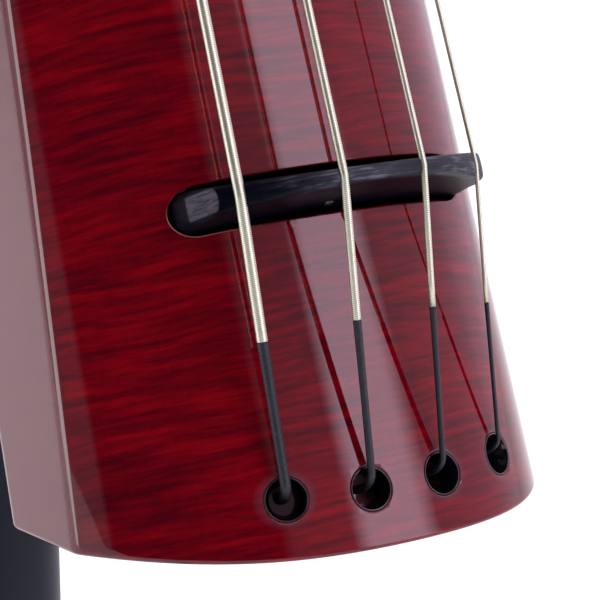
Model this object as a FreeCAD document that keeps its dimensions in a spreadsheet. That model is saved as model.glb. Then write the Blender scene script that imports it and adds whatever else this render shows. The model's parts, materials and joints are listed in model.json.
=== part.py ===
"""Electric cello on its folding tripod stand, as separate pieces in millimetres.

Row frame: +X is the treble (A string) side, -Y is the player's front, +Z is up, and the origin lies
on the floor under the middle of the whole object.  The instrument itself is drawn in a frame of its
own, with the origin on the body's crown under the bridge, +Y towards the head and +Z out of the top,
and is then leaned back on the stand.
"""
import FreeCAD, Part
import math
import os
import re

import Sketcher
from FreeCAD import Placement, Rotation, Vector

ALONG_X = Vector(1, 0, 0)
ALONG_Y = Vector(0, 1, 0)
ALONG_Z = Vector(0, 0, 1)
HERE = Placement()

SIZES = {
    "Stance": {
        "lean_back": 24.0, "pivot_height": 605.0, "column_back": -87.5,
        "pivot_along": 138.0, "pivot_behind": 100.0,
    },
    "Body": {
        "body_half_width": 44.6, "body_taper": 0.042, "arch_square": 0.00624,
        "arch_fourth": 0.00000399, "body_depth": 59.8, "body_end": 400.0, "tail_reach": 60.8,
        "tail_slope": 0.30, "edge_round": 1.6, "back_round": 4.0, "heel_start": 310.0,
        "heel_rise": 26.0, "land_start": 112.0, "land_depth": 6.0, "slot_half_length": 29.1,
        "slot_width": 8.2, "slot_centre": 0.6, "slot_depth": 24.0,
    },
    "Strings": {
        "bridge_spacing": 15.67, "string_arc": 37.6, "string_crown": 15.2, "nut_distance": 692.0,
        "nut_spacing": 7.47, "nut_arc": 60.0, "nut_crown": 15.5, "string_radius_c": 0.95,
        "string_radius_g": 0.70, "string_radius_d": 0.55, "string_radius_a": 0.39,
        "hole_spacing": 14.5, "hole_shift": 0.55, "hole_row": 49.2, "hole_bow": 1.4,
        "bush_radius": 3.75, "bush_bore": 2.5, "bush_length": 7.0, "ball_radius": 3.6,
        "ball_pocket": 4.4, "pocket_depth": 16.0, "silk_start": 24.0, "silk_extra": 0.05,
    },
    "Bridge": {
        "bridge_top_half": 26.5, "bridge_base_half": 28.3, "bridge_shoulder": -3.2,
        "bridge_top_thickness": 2.4, "bridge_top_centre": -0.05, "bridge_base_thickness": 6.6,
        "bridge_lean_start": -5.0, "bridge_gap": 0.3, "bridge_foot": 22.0,
        "pickup_length": 46.0, "pickup_width": 4.6, "pickup_height": 2.0,
    },
    "Neck": {
        "board_tail": 118.0, "board_tail_half": 29.0, "board_nut_half": 16.0,
        "board_tail_top": 8.5, "board_nut_top": 14.1, "board_tail_base": -5.7,
        "board_nut_base": 4.0, "board_arc": 44.0, "nut_thickness": 6.0, "tongue_start": 230.0,
        "tongue_half": 20.0, "tongue_floor": -22.0, "neck_heel_depth": 24.0,
        "neck_nut_depth": 18.0, "neck_thin_along": 660.0, "rod_radius": 3.0, "rod_length": 425.0, "rod_depth": 9.0,
        "neck_bolt_radius": 2.5, "neck_bolt_head": 4.5, "neck_bolt_length": 20.0,
        "neck_bolt_near": 330.0, "neck_bolt_far": 372.0, "neck_bolt_below": 14.0,
    },
    "Head": {
        "head_start": 702.0, "head_angle": 12.0, "head_length": 142.0, "head_thickness": 16.0,
        "head_throat_half": 17.5, "head_wide_half": 28.5, "head_end_half": 21.0,
        "near_post": 42.0, "far_post": 102.0, "near_post_side": 18.0, "far_post_side": 14.0,
        "post_radius": 4.0, "post_height": 15.0, "post_waist": 2.9, "housing_length": 27.0,
        "housing_width": 18.0, "housing_height": 10.0, "wheel_radius": 6.0, "wheel_height": 4.0,
        "worm_radius": 2.8, "worm_length": 9.0, "worm_offset": 9.1, "stem_radius": 2.0,
        "button_reach": 42.0, "button_half_length": 9.5, "button_half_height": 7.5,
        "button_half_thickness": 4.2, "running_gap": 0.08,
    },
    "Controls": {
        "cavity_start": 183.0, "cavity_length": 107.0, "cavity_half": 24.0, "cavity_depth": 26.0,
        "cover_thickness": 2.5, "cover_margin": 4.0, "cover_screw": 1.5, "jack_along": 197.0,
        "volume_along": 224.0, "tone_along": 250.0, "switch_along": 274.0, "control_level": -44.0,
        "jack_radius": 5.5, "jack_bore": 3.25, "jack_length": 30.0, "jack_flange": 8.5,
        "pot_radius": 8.0, "pot_length": 9.0, "pot_bush": 3.6, "pot_shaft": 3.0,
        "dial_radius": 8.0, "dial_height": 13.0, "lever_radius": 1.4, "lever_length": 11.0,
        "battery_along": 187.0, "battery_width": 24.0, "battery_length": 44.0,
        "battery_height": 16.0, "circuit_along": 240.0, "circuit_width": 32.0, "circuit_length": 42.0,
        "circuit_thickness": 1.6, "circuit_level": 12.0, "cavity_clearance": 2.0,
    },
    "Stand": {
        "bracket_half_width": 30.0, "bracket_length": 76.0, "bracket_thickness": 6.0,
        "ear_inner": 13.3, "ear_thickness": 6.0, "ear_round": 14.0, "tilt_pin_radius": 5.0,
        "tongue_width": 26.0, "knuckle_round": 13.0, "socket_radius": 18.0, "socket_length": 32.0,
        "inner_tube_radius": 14.0, "tube_wall": 2.0, "inner_tube_bottom": 170.0,
        "inner_tube_top": 570.0, "outer_tube_radius": 17.0, "outer_tube_bottom": 64.0,
        "outer_tube_top": 360.0, "sliding_gap": 0.1, "collar_radius": 22.5,
        "collar_height": 34.0, "collar_lip": 5.0, "lug_radius": 8.0, "lug_reach": 33.0,
        "clamp_screw_radius": 3.0, "height_knob_radius": 17.0, "tilt_knob_radius": 21.0,
        "knob_thickness": 14.0, "knob_scallop": 6.0, "hub_radius": 26.0, "hub_bottom": 92.0,
        "hub_height": 60.0, "leg_pivot_out": 42.0, "leg_pivot_height": 128.0,
        "leg_pivot_round": 11.0, "leg_knuckle_half": 8.0, "leg_ear_thickness": 5.0,
        "leg_tube_radius": 10.0, "leg_tube_wall": 1.6, "leg_tube_start": 26.0,
        "leg_bolt_radius": 3.5, "leg_bolt_head": 6.0, "foot_reach": 350.0, "foot_radius": 15.0,
        "foot_height": 13.2, "foot_sleeve": 12.5, "foot_sleeve_length": 34.0,
    },
}

STRINGS = ("c", "g", "d", "a")
LEG_ANGLES = {"right": -30.0, "rear": 90.0, "left": -150.0}
HEIGHT_KNOB_ANGLE = 30.0

doc = FreeCAD.newDocument("ElectricCello")
sheet = doc.addObject("Spreadsheet::Sheet", "Sizes")
nodes = []


# ---------------------------------------------------------------- document helpers

def fill_sheet():
    """Write one named cell per driving dimension."""
    row = 1
    for group, values in SIZES.items():
        sheet.set(f"A{row}", group)
        row += 1
        for alias, value in values.items():
            sheet.set(f"A{row}", alias.replace("_", " "))
            sheet.set(f"B{row}", f"{value:.8f}")
            sheet.setAlias(f"B{row}", alias)
            row += 1
    doc.recompute()


def size(alias):
    """The number that a named cell holds."""
    return float(sheet.get(alias))


def formula(text):
    """A sheet expression from a plain one: every alias has an underscore in it."""
    return re.sub(r"[a-z]+(?:_[a-z]+)+", lambda word: "Sizes." + word.group(), text)


def primitive(kind, name, place, **sizes):
    """A Part primitive whose sizes are bound to the sheet."""
    item = doc.addObject("Part::" + kind, name)
    for prop, text in sizes.items():
        item.setExpression(prop, formula(text))
    item.Placement = place
    return item


def cylinder(name, radius, height, base=Vector(), axis=ALONG_Z):
    place = Placement(base, Rotation(ALONG_Z, axis))
    return primitive("Cylinder", name, place, Radius=radius, Height=height)


def box(name, length, width, height, corner):
    return primitive("Box", name, Placement(corner, Rotation()),
                     Length=length, Width=width, Height=height)


def fused(name, *items):
    item = doc.addObject("Part::MultiFuse", name)
    item.Shapes = list(items)
    item.Refine = True
    return item


def cut(name, base, *tools):
    item = doc.addObject("Part::Cut", name)
    item.Base = base
    item.Tool = tools[0] if len(tools) == 1 else fused(name + "_tools", *tools)
    item.Refine = True
    return item


def feature(name, shape):
    item = doc.addObject("Part::Feature", name)
    item.Shape = shape
    return item


def group_of(name, *items):
    """Several alike pieces as one object of separate solids."""
    item = doc.addObject("Part::Compound", name)
    item.Links = list(items)
    return item


def keep(item, label, frame=HERE):
    """Label an object as a sub-part and put it in its place in the row frame."""
    item.Label = label
    item.Placement = frame.multiply(item.Placement)
    nodes.append(item)
    return item


# ---------------------------------------------------------------- frames and curves

def instrument_frame():
    """From the instrument's own frame to the row frame, by way of the tilt pivot."""
    turn = Rotation(ALONG_X, 90.0 - size("lean_back"))
    pivot = Vector(0, size("column_back"), size("pivot_height"))
    reach = turn.multVec(Vector(0, size("pivot_along"), -size("pivot_behind")))
    return Placement(pivot - reach, turn)


def head_in_instrument():
    """The head's face: +Y runs along it away from the nut, +Z stands out of it."""
    return Placement(Vector(0, size("head_start"), board_base(size("head_start"))),
                     Rotation(ALONG_X, -size("head_angle")))


def arch(x):
    """Height of the body's arched top, against its crown."""
    return -(size("arch_square") * x ** 2 + size("arch_fourth") * x ** 4)


def half_width(y):
    return size("body_half_width") - size("body_taper") * y


def board_share(y):
    """How far a place lies along the fingerboard, from 0 at its tail end to 1 at the nut."""
    return (y - size("board_tail")) / (size("nut_distance") - size("board_tail"))


def board_base(y):
    rise = size("board_nut_base") - size("board_tail_base")
    return size("board_tail_base") + rise * board_share(y)


def on_arc(x, crown, radius):
    return crown - radius + math.sqrt(radius ** 2 - x ** 2)


def string_radius(letter):
    return size("string_radius_" + letter)


def at_bridge(index):
    x = (index - 1.5) * size("bridge_spacing")
    return Vector(x, 0, on_arc(x, size("string_crown"), size("string_arc")))


def at_nut(index):
    x = (index - 1.5) * size("nut_spacing")
    return Vector(x, size("nut_distance"), on_arc(x, size("nut_crown"), size("nut_arc")))


def anchor_axis():
    """The way the anchor holes run: down, in line with the undercut tail."""
    return Vector(0, size("tail_slope"), -1).normalize()


def at_hole(index):
    x = (index - 1.5) * size("hole_spacing") + size("hole_shift")
    bow = size("hole_bow") * (1 - (x / (1.5 * size("hole_spacing"))) ** 2)
    return Vector(x, -size("hole_row") - bow, arch(x))


def at_silk(index):
    """Where the wound metal ends and the silk wrap starts, on the run from bridge to hole."""
    start = at_bridge(index)
    run = at_hole(index) - start
    return start + run * (size("silk_start") / run.Length)


def mouth_axis(index):
    """Straight into the arched top at an anchor hole."""
    x = at_hole(index).x
    slope = -(2 * size("arch_square") * x + 4 * size("arch_fourth") * x ** 3)
    return Vector(slope, 0, -1).normalize()


def at_turn(index):
    """The foot of a hole's bush, where its bore turns in line with the tail."""
    return at_hole(index) + mouth_axis(index) * size("bush_length")


def at_ball(index):
    start = at_turn(index)
    down = (size("body_depth") + start.z - size("pocket_depth")) / -anchor_axis().z
    return start + anchor_axis() * down


def post_place(index):
    """A tuning post's foot on the head's face, in the head's own frame."""
    side = -1 if index < 2 else 1
    near = index in (0, 3)
    x = size("near_post_side") if near else size("far_post_side")
    y = size("near_post") if near else size("far_post")
    return Vector(side * x, y, 0)


def at_post(index):
    """Where a string meets its post, on the side that faces the middle of the head."""
    foot = post_place(index)
    inward = -1 if foot.x > 0 else 1
    touch = size("post_waist") + string_radius(STRINGS[index]) + 0.1
    meet = Vector(foot.x + inward * touch, foot.y, size("post_height") * 0.45)
    return head_in_instrument().multVec(meet)


def rod(points, radius):
    """A round rod along straight runs, mitred where they meet."""
    path = Part.makePolygon(points)
    start = Part.Wire(Part.makeCircle(radius, points[0], points[1] - points[0]))
    right_corners = 1
    return path.makePipeShell([start], True, False, right_corners)


def polygon_prism(points, run):
    """A prism: the closed polygon through the points, pushed along a vector."""
    return Part.Face(Part.makePolygon(points + points[:1])).extrude(run)


# ---------------------------------------------------------------- the instrument's wood

def arched_blank(half, start, end, floor):
    """A straight bar with the body's arched top."""
    count = 16
    xs = [half * (2 * i / count - 1) for i in range(count + 1)]
    curve = Part.BSplineCurve()
    curve.interpolate([Vector(x, start, arch(x)) for x in xs])
    left, right = Vector(-half, start, floor), Vector(half, start, floor)
    sides = Part.makePolygon([Vector(half, start, arch(half)), right, left,
                              Vector(-half, start, arch(half))])
    wire = Part.Wire([curve.toShape()] + sides.Edges)
    return Part.Face(wire).extrude(Vector(0, end - start, 0))


def body_outline():
    """The tapered plan of the body, pushed along the undercut of the tail."""
    tail, end = -size("tail_reach"), size("body_end")
    drop = size("body_depth") + 4
    lean = Vector(0, size("tail_slope"), -1) * drop
    overrun = 120
    points = [Vector(-half_width(tail), tail, 0), Vector(half_width(tail), tail, 0),
              Vector(half_width(end + overrun), end + overrun, 0),
              Vector(-half_width(end + overrun), end + overrun, 0)]
    plan = Part.Face(Part.makePolygon(points + points[:1]))
    return plan.extrude(lean)


def side_walls():
    """The same plan pushed straight down, which gives square side walls."""
    tail, end = -size("tail_reach") - 5, size("body_end")
    points = [Vector(-half_width(tail), tail, 1), Vector(half_width(tail), tail, 1),
              Vector(half_width(end), end, 1), Vector(-half_width(end), end, 1)]
    return polygon_prism(points, Vector(0, 0, -size("body_depth") - 6))


def heel_cut():
    """The wedge taken off the back where the body runs out into the neck."""
    start, end = size("heel_start"), size("body_end") + 2
    depth, rise = size("body_depth"), size("heel_rise")
    slope = rise / (size("body_end") - start)
    points = [Vector(-60, start, -depth), Vector(-60, end, -depth),
              Vector(-60, end, -depth + slope * (end - start))]
    return polygon_prism(points, Vector(120, 0, 0))


def stadium(half_length, width, centre, top, floor):
    """A long round-ended prism across the body."""
    radius = width / 2
    reach = half_length - radius
    left, right = Vector(-reach, centre, floor), Vector(reach, centre, floor)
    block = Part.makeBox(2 * reach, width, top - floor, Vector(-reach, centre - radius, floor))
    ends = [Part.makeCylinder(radius, top - floor, place) for place in (left, right)]
    return block.fuse(ends).removeSplitter()


def body_back():
    """The level of the flat back."""
    return -size("body_depth")


def control_openings():
    """The control cavity, its cover's recess and the bores through the treble side."""
    start, length, half = size("cavity_start"), size("cavity_length"), size("cavity_half")
    margin, depth = size("cover_margin"), size("cavity_depth")
    room = Part.makeBox(2 * half, length, depth + 1, Vector(-half, start, body_back() - 1))
    recess = Part.makeBox(2 * (half + margin), length + 2 * margin, size("cover_thickness") + 1,
                          Vector(-half - margin, start - margin, body_back() - 1))
    bores = []
    radii = {"jack_along": "jack_radius", "volume_along": "pot_bush", "tone_along": "pot_bush",
             "switch_along": "pot_bush"}
    for place, radius in radii.items():
        base = Vector(half - 2, size(place), size("control_level"))
        bores.append(Part.makeCylinder(size(radius), 30, base, ALONG_X))
    return [room, recess] + bores


def cover_screw_places():
    half = size("cavity_half") + size("cover_margin") / 2
    low = size("cavity_start") - size("cover_margin") / 2
    high = low + size("cavity_length") + size("cover_margin")
    return [Vector(x, y, body_back()) for x in (-half, half) for y in (low, high)]


def bracket_screw_places():
    x = size("bracket_half_width") - 8
    y = size("bracket_length") / 2 - 9
    middle = size("pivot_along")
    return [Vector(i * x, middle + j * y, body_back()) for i in (-1, 1) for j in (-1, 1)]


def neck_bolt_places():
    """Bolt heads sit in the sloping back of the heel."""
    level = size("tongue_floor") - size("neck_bolt_below")
    return [Vector(0, size(place), level) for place in ("neck_bolt_near", "neck_bolt_far")]


def anchor_holes():
    tools = []
    for index in range(4):
        axis = anchor_axis()
        above = at_hole(index) - mouth_axis(index) * 4
        tools.append(Part.makeCylinder(size("bush_radius"), size("bush_length") + 4, above,
                                       mouth_axis(index)))
        tools.append(Part.makeSphere(size("bush_bore"), at_turn(index)))
        tools.append(Part.makeCylinder(size("bush_bore"), 70, at_turn(index), axis))
        tools.append(Part.makeCylinder(size("ball_pocket"), 30,
                                       at_ball(index) - axis * size("ball_radius"), axis))
    return tools


def neck_tongue():
    start, end, half = size("tongue_start"), size("body_end"), size("tongue_half")
    floor = size("tongue_floor")
    points = [Vector(-half, start, floor), Vector(-half, end, floor),
              Vector(-half, end, board_base(end)), Vector(-half, start, board_base(start))]
    return polygon_prism(points, Vector(2 * half, 0, 0))


def body_shape():
    bar = arched_blank(60, -size("tail_reach") - 2, size("body_end"), -size("body_depth"))
    blank = bar.common(body_outline()).common(side_walls()).cut(heel_cut())
    blank = blank.removeSplitter()
    blank = blank.makeFillet(size("edge_round"), top_edges(blank))
    blank = blank.makeFillet(size("back_round"), back_edges(blank))
    land = Part.makeBox(120, 400, 30, Vector(-60, size("land_start"), -size("land_depth")))
    tongue = neck_tongue()
    slot = stadium(size("slot_half_length"), size("slot_width"), size("slot_centre"), 8,
                   -size("slot_depth"))
    bolts = []
    for place in neck_bolt_places():
        bolts.append(Part.makeCylinder(size("neck_bolt_radius"), 20, place))
        bolts.append(Part.makeCylinder(size("neck_bolt_head"), 40, place - ALONG_Z * 40))
    screws = [Part.makeCylinder(size("cover_screw"), 12, place)
              for place in cover_screw_places() + bracket_screw_places()]
    tools = [land, tongue, slot] + bolts + screws + control_openings() + anchor_holes()
    return blank.cut(tools).removeSplitter()


def top_edges(shape):
    """The edges between the arched top and the side walls or the tail."""
    found = []
    for edge in shape.Edges:
        middle = edge.valueAt((edge.FirstParameter + edge.LastParameter) / 2)
        on_top = abs(middle.z - arch(middle.x)) < 0.05
        if on_top and middle.y < size("body_end") - 1:
            found.append(edge)
    return found


def back_edges(shape):
    """The long edges of the flat back and the edge under the tail."""
    found = []
    for edge in shape.Edges:
        ends = [vertex.Point.z for vertex in edge.Vertexes]
        flat = all(abs(z + size("body_depth")) < 0.05 for z in ends)
        middle = edge.valueAt((edge.FirstParameter + edge.LastParameter) / 2)
        if flat and middle.y < size("heel_start") - 1:
            found.append(edge)
    return found


def board_section(y, share):
    """The fingerboard's cross-section: flat below, arched above."""
    half = size("board_tail_half") + share * (size("board_nut_half") - size("board_tail_half"))
    top = size("board_tail_top") + share * (size("board_nut_top") - size("board_tail_top"))
    base = size("board_tail_base") + share * (size("board_nut_base") - size("board_tail_base"))
    edge = on_arc(half, top, size("board_arc"))
    crown = Part.Arc(Vector(-half, y, edge), Vector(0, y, top), Vector(half, y, edge)).toShape()
    rest = Part.makePolygon([Vector(half, y, edge), Vector(half, y, base),
                             Vector(-half, y, base), Vector(-half, y, edge)])
    return Part.Wire([crown] + rest.Edges)


def fingerboard_shape():
    tail, end = size("board_tail"), size("nut_distance")
    return Part.makeLoft([board_section(tail, 0), board_section(end, 1)], True, True)


def nut_shape():
    """The nut: the fingerboard's outline at its end, a little higher, with the strings' grooves."""
    half = size("board_nut_half")
    thickness = size("nut_thickness")
    low = size("nut_distance")
    crown = size("nut_crown") + 0.3
    edge = on_arc(half, crown, size("nut_arc"))
    base = board_base(low)
    arc = Part.Arc(Vector(-half, low, edge), Vector(0, low, crown), Vector(half, low, edge))
    rest = Part.makePolygon([Vector(half, low, edge), Vector(half, low, base),
                             Vector(-half, low, base), Vector(-half, low, edge)])
    block = Part.Face(Part.Wire([arc.toShape()] + rest.Edges)).extrude(Vector(0, thickness, 0))
    floor_cut = polygon_prism([Vector(-20, low, base - 3), Vector(-20, low, base),
                               Vector(-20, low + thickness, board_base(low + thickness)),
                               Vector(-20, low + thickness, base - 3)], Vector(40, 0, 0))
    return block.cut([floor_cut] + [string_run(i) for i in range(4)]
                     + [peg_silk_shape(i) for i in range(4)])


def neck_section(y, half, depth):
    """The neck's cross-section: flat under the fingerboard, round in the hand."""
    top = board_base(y)
    shoulder = top - 3
    arc = Part.Arc(Vector(half, y, shoulder), Vector(0, y, top - depth),
                   Vector(-half, y, shoulder))
    rest = Part.makePolygon([Vector(-half, y, shoulder), Vector(-half, y, top),
                             Vector(half, y, top), Vector(half, y, shoulder)])
    return Part.Wire([arc.toShape()] + rest.Edges)


def board_half(y):
    return size("board_tail_half") + board_share(y) * (
        size("board_nut_half") - size("board_tail_half"))


def head_shape():
    """The head: a flat paddle that swells for the near posts, in the instrument's frame."""
    throat, wide, end = size("head_throat_half"), size("head_wide_half"), size("head_end_half")
    near, length = size("near_post"), size("head_length")
    right = [Vector(throat, 0, 0), Vector(wide, near - 18, 0), Vector(wide - 3, near + 48, 0)]
    top = Part.Arc(Vector(end + 2, length - 14, 0), Vector(0, length, 0),
                   Vector(-end - 2, length - 14, 0))
    left = [Vector(-point.x, point.y, 0) for point in reversed(right)]
    flank = Part.makePolygon(right + [Vector(end + 2, length - 14, 0)])
    other = Part.makePolygon([Vector(-end - 2, length - 14, 0)] + left)
    closing = Part.makePolygon([left[-1], right[0]])
    plan = Part.Face(Part.Wire(flank.Edges + [top.toShape()] + other.Edges + closing.Edges))
    paddle = plan.extrude(Vector(0, 0, -size("head_thickness")))
    holes = [Part.makeCylinder(size("post_radius") + size("running_gap"), 40,
                               post_place(i) - ALONG_Z * 30) for i in range(4)]
    paddle = paddle.cut(holes)
    upright = [edge for edge in paddle.Edges if is_upright(edge)]
    paddle = paddle.makeFillet(6, upright)
    paddle.Placement = head_in_instrument()
    return paddle


def is_upright(edge):
    """A straight edge through the head's thickness, between its flanks."""
    ends = [vertex.Point for vertex in edge.Vertexes]
    if len(ends) < 2 or not isinstance(edge.Curve, Part.Line):
        return False
    run = ends[1] - ends[0]
    return abs(run.x) + abs(run.y) < 0.01 and 10 < ends[0].y < size("head_length") - 20 \
        and abs(ends[0].x) > size("near_post_side") + 5


def truss_rod_shape():
    start = Vector(0, size("tongue_start") + 16, board_base(size("tongue_start") + 16)
                   - size("rod_depth"))
    end = Vector(0, size("nut_distance"), board_base(size("nut_distance")) - size("rod_depth"))
    return Part.makeCylinder(size("rod_radius"), size("rod_length"), start, end - start)


def neck_shape():
    start, end = size("body_end"), size("head_start")
    thin = size("neck_thin_along")
    wires = [neck_section(start, board_half(start), size("neck_heel_depth")),
             neck_section(start + 30, board_half(start + 30), size("neck_heel_depth") - 1.5),
             neck_section(thin, board_half(thin), size("neck_nut_depth")),
             neck_section(end, size("head_throat_half"), size("head_thickness"))]
    shaft = Part.makeLoft(wires, True, False)
    wood = shaft.fuse([neck_tongue(), head_shape()]).removeSplitter()
    bolts = [Part.makeCylinder(size("neck_bolt_radius"), size("neck_bolt_length"), place)
             for place in neck_bolt_places()]
    return wood.cut([truss_rod_shape()] + bolts)


# ---------------------------------------------------------------- bridge, strings and anchors

def bridge_shape():
    """A plate that stands in the slot: arched top, bevelled ends and a thicker base."""
    top, base = size("bridge_top_half"), size("bridge_base_half")
    shoulder, foot = size("bridge_shoulder"), -size("bridge_foot")
    crown, thick = size("string_crown"), size("bridge_base_thickness")
    tail_face = size("slot_centre") - thick / 2
    corner = on_arc(top, crown, size("string_arc"))
    arc = Part.Arc(Vector(-top, tail_face, corner), Vector(0, tail_face, crown),
                   Vector(top, tail_face, corner))
    rest = Part.makePolygon([Vector(top, tail_face, corner), Vector(base, tail_face, shoulder),
                             Vector(base, tail_face, foot), Vector(-base, tail_face, foot),
                             Vector(-base, tail_face, shoulder), Vector(-top, tail_face, corner)])
    plate = Part.Face(Part.Wire([arc.toShape()] + rest.Edges)).extrude(Vector(0, thick, 0))
    gap = size("bridge_gap")
    plan = stadium(size("slot_half_length") - gap, size("slot_width") - 2 * gap,
                   size("slot_centre"), crown + 1, foot - 1)
    plate = plate.common(plan).cut(bridge_leans(tail_face, crown))
    plate = plate.makeFillet(0.7, [edge for edge in plate.Edges if is_bridge_crown(edge)])
    return plate.cut([string_run(i) for i in range(4)])


def bridge_leans(tail_face, crown):
    """Wedges off both faces, which thin the plate from its base to its top."""
    thin, centre = size("bridge_top_thickness"), size("bridge_top_centre")
    head_face = tail_face + size("bridge_base_thickness")
    start, reach = size("bridge_lean_start"), 2 * size("slot_half_length")
    wedges = []
    for face, top_face, way in ((tail_face, centre - thin / 2, 1),
                                (head_face, centre + thin / 2, -1)):
        corners = [Vector(-reach / 2, face - way, start), Vector(-reach / 2, face, start),
                   Vector(-reach / 2, top_face, crown), Vector(-reach / 2, top_face, crown + 1),
                   Vector(-reach / 2, face - way, crown + 1)]
        wedges.append(polygon_prism(corners, Vector(reach, 0, 0)))
    return wedges


def is_bridge_crown(edge):
    """A long edge of the arched top."""
    middle = edge.valueAt((edge.FirstParameter + edge.LastParameter) / 2)
    length = edge.BoundBox.XLength
    return length > 20 and middle.z > 8


def string_run(index):
    """The wound metal: from the nut over the bridge to where the silk starts."""
    start = at_nut(index)
    return rod([start, at_bridge(index), at_silk(index)], string_radius(STRINGS[index]))


def tail_silk_shape(index):
    radius = string_radius(STRINGS[index]) + size("silk_extra")
    entry = at_hole(index) + Vector(0, 0.9, 0.6)
    end = at_ball(index) - anchor_axis() * size("ball_radius")
    return rod([at_silk(index), entry, at_turn(index), end], radius)


def peg_silk_shape(index):
    radius = string_radius(STRINGS[index]) + size("silk_extra")
    start = at_nut(index) + Vector(0, 0.3, 0)
    return rod([start, start + Vector(0, size("nut_thickness"), -0.4), at_post(index)], radius)


def bush_shape(index):
    """A glossy collar, flush with the arched top, with a funnel for a mouth."""
    mouth, axis = at_hole(index), mouth_axis(index)
    ring = Part.makeCylinder(size("bush_radius"), size("bush_length"), mouth, axis)
    bore = Part.makeCylinder(size("bush_bore"), size("bush_length") + 2, mouth - axis, axis)
    funnel = Part.makeCone(size("bush_radius") + 0.5, size("bush_bore"), 3.4, mouth - axis, axis)
    return ring.cut([bore, funnel])


def strings_and_anchors(frame):
    for index, letter in enumerate(STRINGS):
        keep(feature("string_" + letter, string_run(index)), "string_" + letter, frame)
    bushes = [feature(f"bush_{letter}", bush_shape(i)) for i, letter in enumerate(STRINGS)]
    keep(group_of("string_bushes", *bushes), "string_bushes", frame)
    silks = [feature(f"tail_silk_{s}", tail_silk_shape(i)) for i, s in enumerate(STRINGS)]
    keep(group_of("tail_silk_wraps", *silks), "tail_silk_wraps", frame)
    silks = [feature(f"peg_silk_{s}", peg_silk_shape(i)) for i, s in enumerate(STRINGS)]
    keep(group_of("peg_silk_wraps", *silks), "peg_silk_wraps", frame)
    balls = [primitive("Sphere", f"ball_{s}", Placement(at_ball(i), Rotation()),
                       Radius="ball_radius") for i, s in enumerate(STRINGS)]
    keep(group_of("string_ball_ends", *balls), "string_ball_ends", frame)


def bridge_pickup(frame):
    corner = Vector(-size("pickup_length") / 2, size("slot_centre") - size("pickup_width") / 2,
                    -size("slot_depth"))
    keep(box("bridge_pickup", "pickup_length", "pickup_width", "pickup_height", corner),
         "bridge_pickup", frame)


# ---------------------------------------------------------------- tuning machines

def tuner_housing(index):
    """The gear case behind the head, with bores for the post, the wheel and the worm."""
    foot, back = post_place(index), -size("head_thickness")
    case = box(f"housing_{index}", "housing_width", "housing_length", "housing_height",
               Vector(foot.x - size("housing_width") / 2, foot.y - 10.5,
                      back - size("housing_height")))
    rounded = doc.addObject("Part::Fillet", f"housing_round_{index}")
    rounded.Base = case
    doc.recompute()
    rounded.Edges = [(number, 1.8, 1.8) for number, edge in enumerate(case.Shape.Edges, 1)
                     if edge.BoundBox.ZMin < back - 1]
    post_bore = cylinder(f"housing_post_bore_{index}", "post_radius + running_gap",
                         "housing_height - 2", Vector(foot.x, foot.y, back - 8))
    wheel_room = cylinder(f"housing_wheel_room_{index}", "wheel_radius + 0.4",
                          "wheel_height + 1", Vector(foot.x, foot.y, back - 7.5))
    worm_axis = Vector(foot.x - 12, foot.y + size("worm_offset"), back - 5)
    stem_bore = cylinder(f"housing_stem_bore_{index}", "stem_radius + running_gap", "24",
                         worm_axis, ALONG_X)
    worm_room = cylinder(f"housing_worm_room_{index}", "worm_radius + 0.3", "worm_length + 1",
                         Vector(foot.x - size("worm_length") / 2 - 0.5, worm_axis.y, back - 5),
                         ALONG_X)
    return cut(f"tuner_housing_{index}", rounded, post_bore, wheel_room, stem_bore, worm_room)


def tuner_post(index, frame):
    """A string post with a waist for the windings and the worm wheel at its foot."""
    letter = STRINGS[index]
    foot, back = post_place(index), -size("head_thickness")
    lower = cylinder(f"post_{letter}_lower", "post_radius", "head_thickness + 8 + 3.5",
                     Vector(foot.x, foot.y, back - 8))
    waist = cylinder(f"post_{letter}_waist", "post_waist", "post_height",
                     Vector(foot.x, foot.y, 0))
    crown = cylinder(f"post_{letter}_crown", "post_radius", "post_height - 10.5",
                     Vector(foot.x, foot.y, 10.5))
    wheel = cylinder(f"post_{letter}_wheel", "wheel_radius", "wheel_height",
                     Vector(foot.x, foot.y, back - 7))
    keep(fused(f"tuner_post_{letter}", lower, waist, crown, wheel), f"tuner_post_{letter}", frame)


def tuner_key(index, frame):
    """The key that turns a post: an oval button on a stem that carries the worm."""
    letter = STRINGS[index]
    foot, back = post_place(index), -size("head_thickness")
    side = 1 if foot.x > 0 else -1
    axis_y, axis_z = foot.y + size("worm_offset"), back - 5
    inner = abs(foot.x) - 8
    stem = cylinder(f"key_{letter}_stem", "stem_radius", f"button_reach - {inner}",
                    Vector(side * inner, axis_y, axis_z), ALONG_X * side)
    worm = cylinder(f"key_{letter}_worm", "worm_radius", "worm_length",
                    Vector(foot.x - side * size("worm_length") / 2, axis_y, axis_z),
                    ALONG_X * side)
    collar = cylinder(f"key_{letter}_collar", "stem_radius + 1.4", "5",
                      Vector(side * (size("button_reach") - 11), axis_y, axis_z),
                      ALONG_X * side)
    facing = Rotation(ALONG_Z, 0 if side > 0 else 180)
    button = primitive("Ellipsoid", f"key_{letter}_button",
                       Placement(Vector(side * size("button_reach"), axis_y, axis_z), facing),
                       Radius1="button_half_height", Radius2="button_half_length",
                       Radius3="button_half_thickness")
    button.Angle1, button.Angle2, button.Angle3 = -90, 90, 360
    keep(fused(f"tuner_key_{letter}", stem, worm, collar, button), f"tuner_key_{letter}", frame)


def tuning_machines(frame):
    head = frame.multiply(head_in_instrument())
    keep(group_of("tuner_housings", *[tuner_housing(i) for i in range(4)]), "tuner_housings", head)
    for index in range(4):
        tuner_post(index, head)
        tuner_key(index, head)


# ---------------------------------------------------------------- sketches and turned knobs

def origin_plane(body, role):
    return next(item for item in body.Origin.OriginFeatures if item.Role == role)


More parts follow.
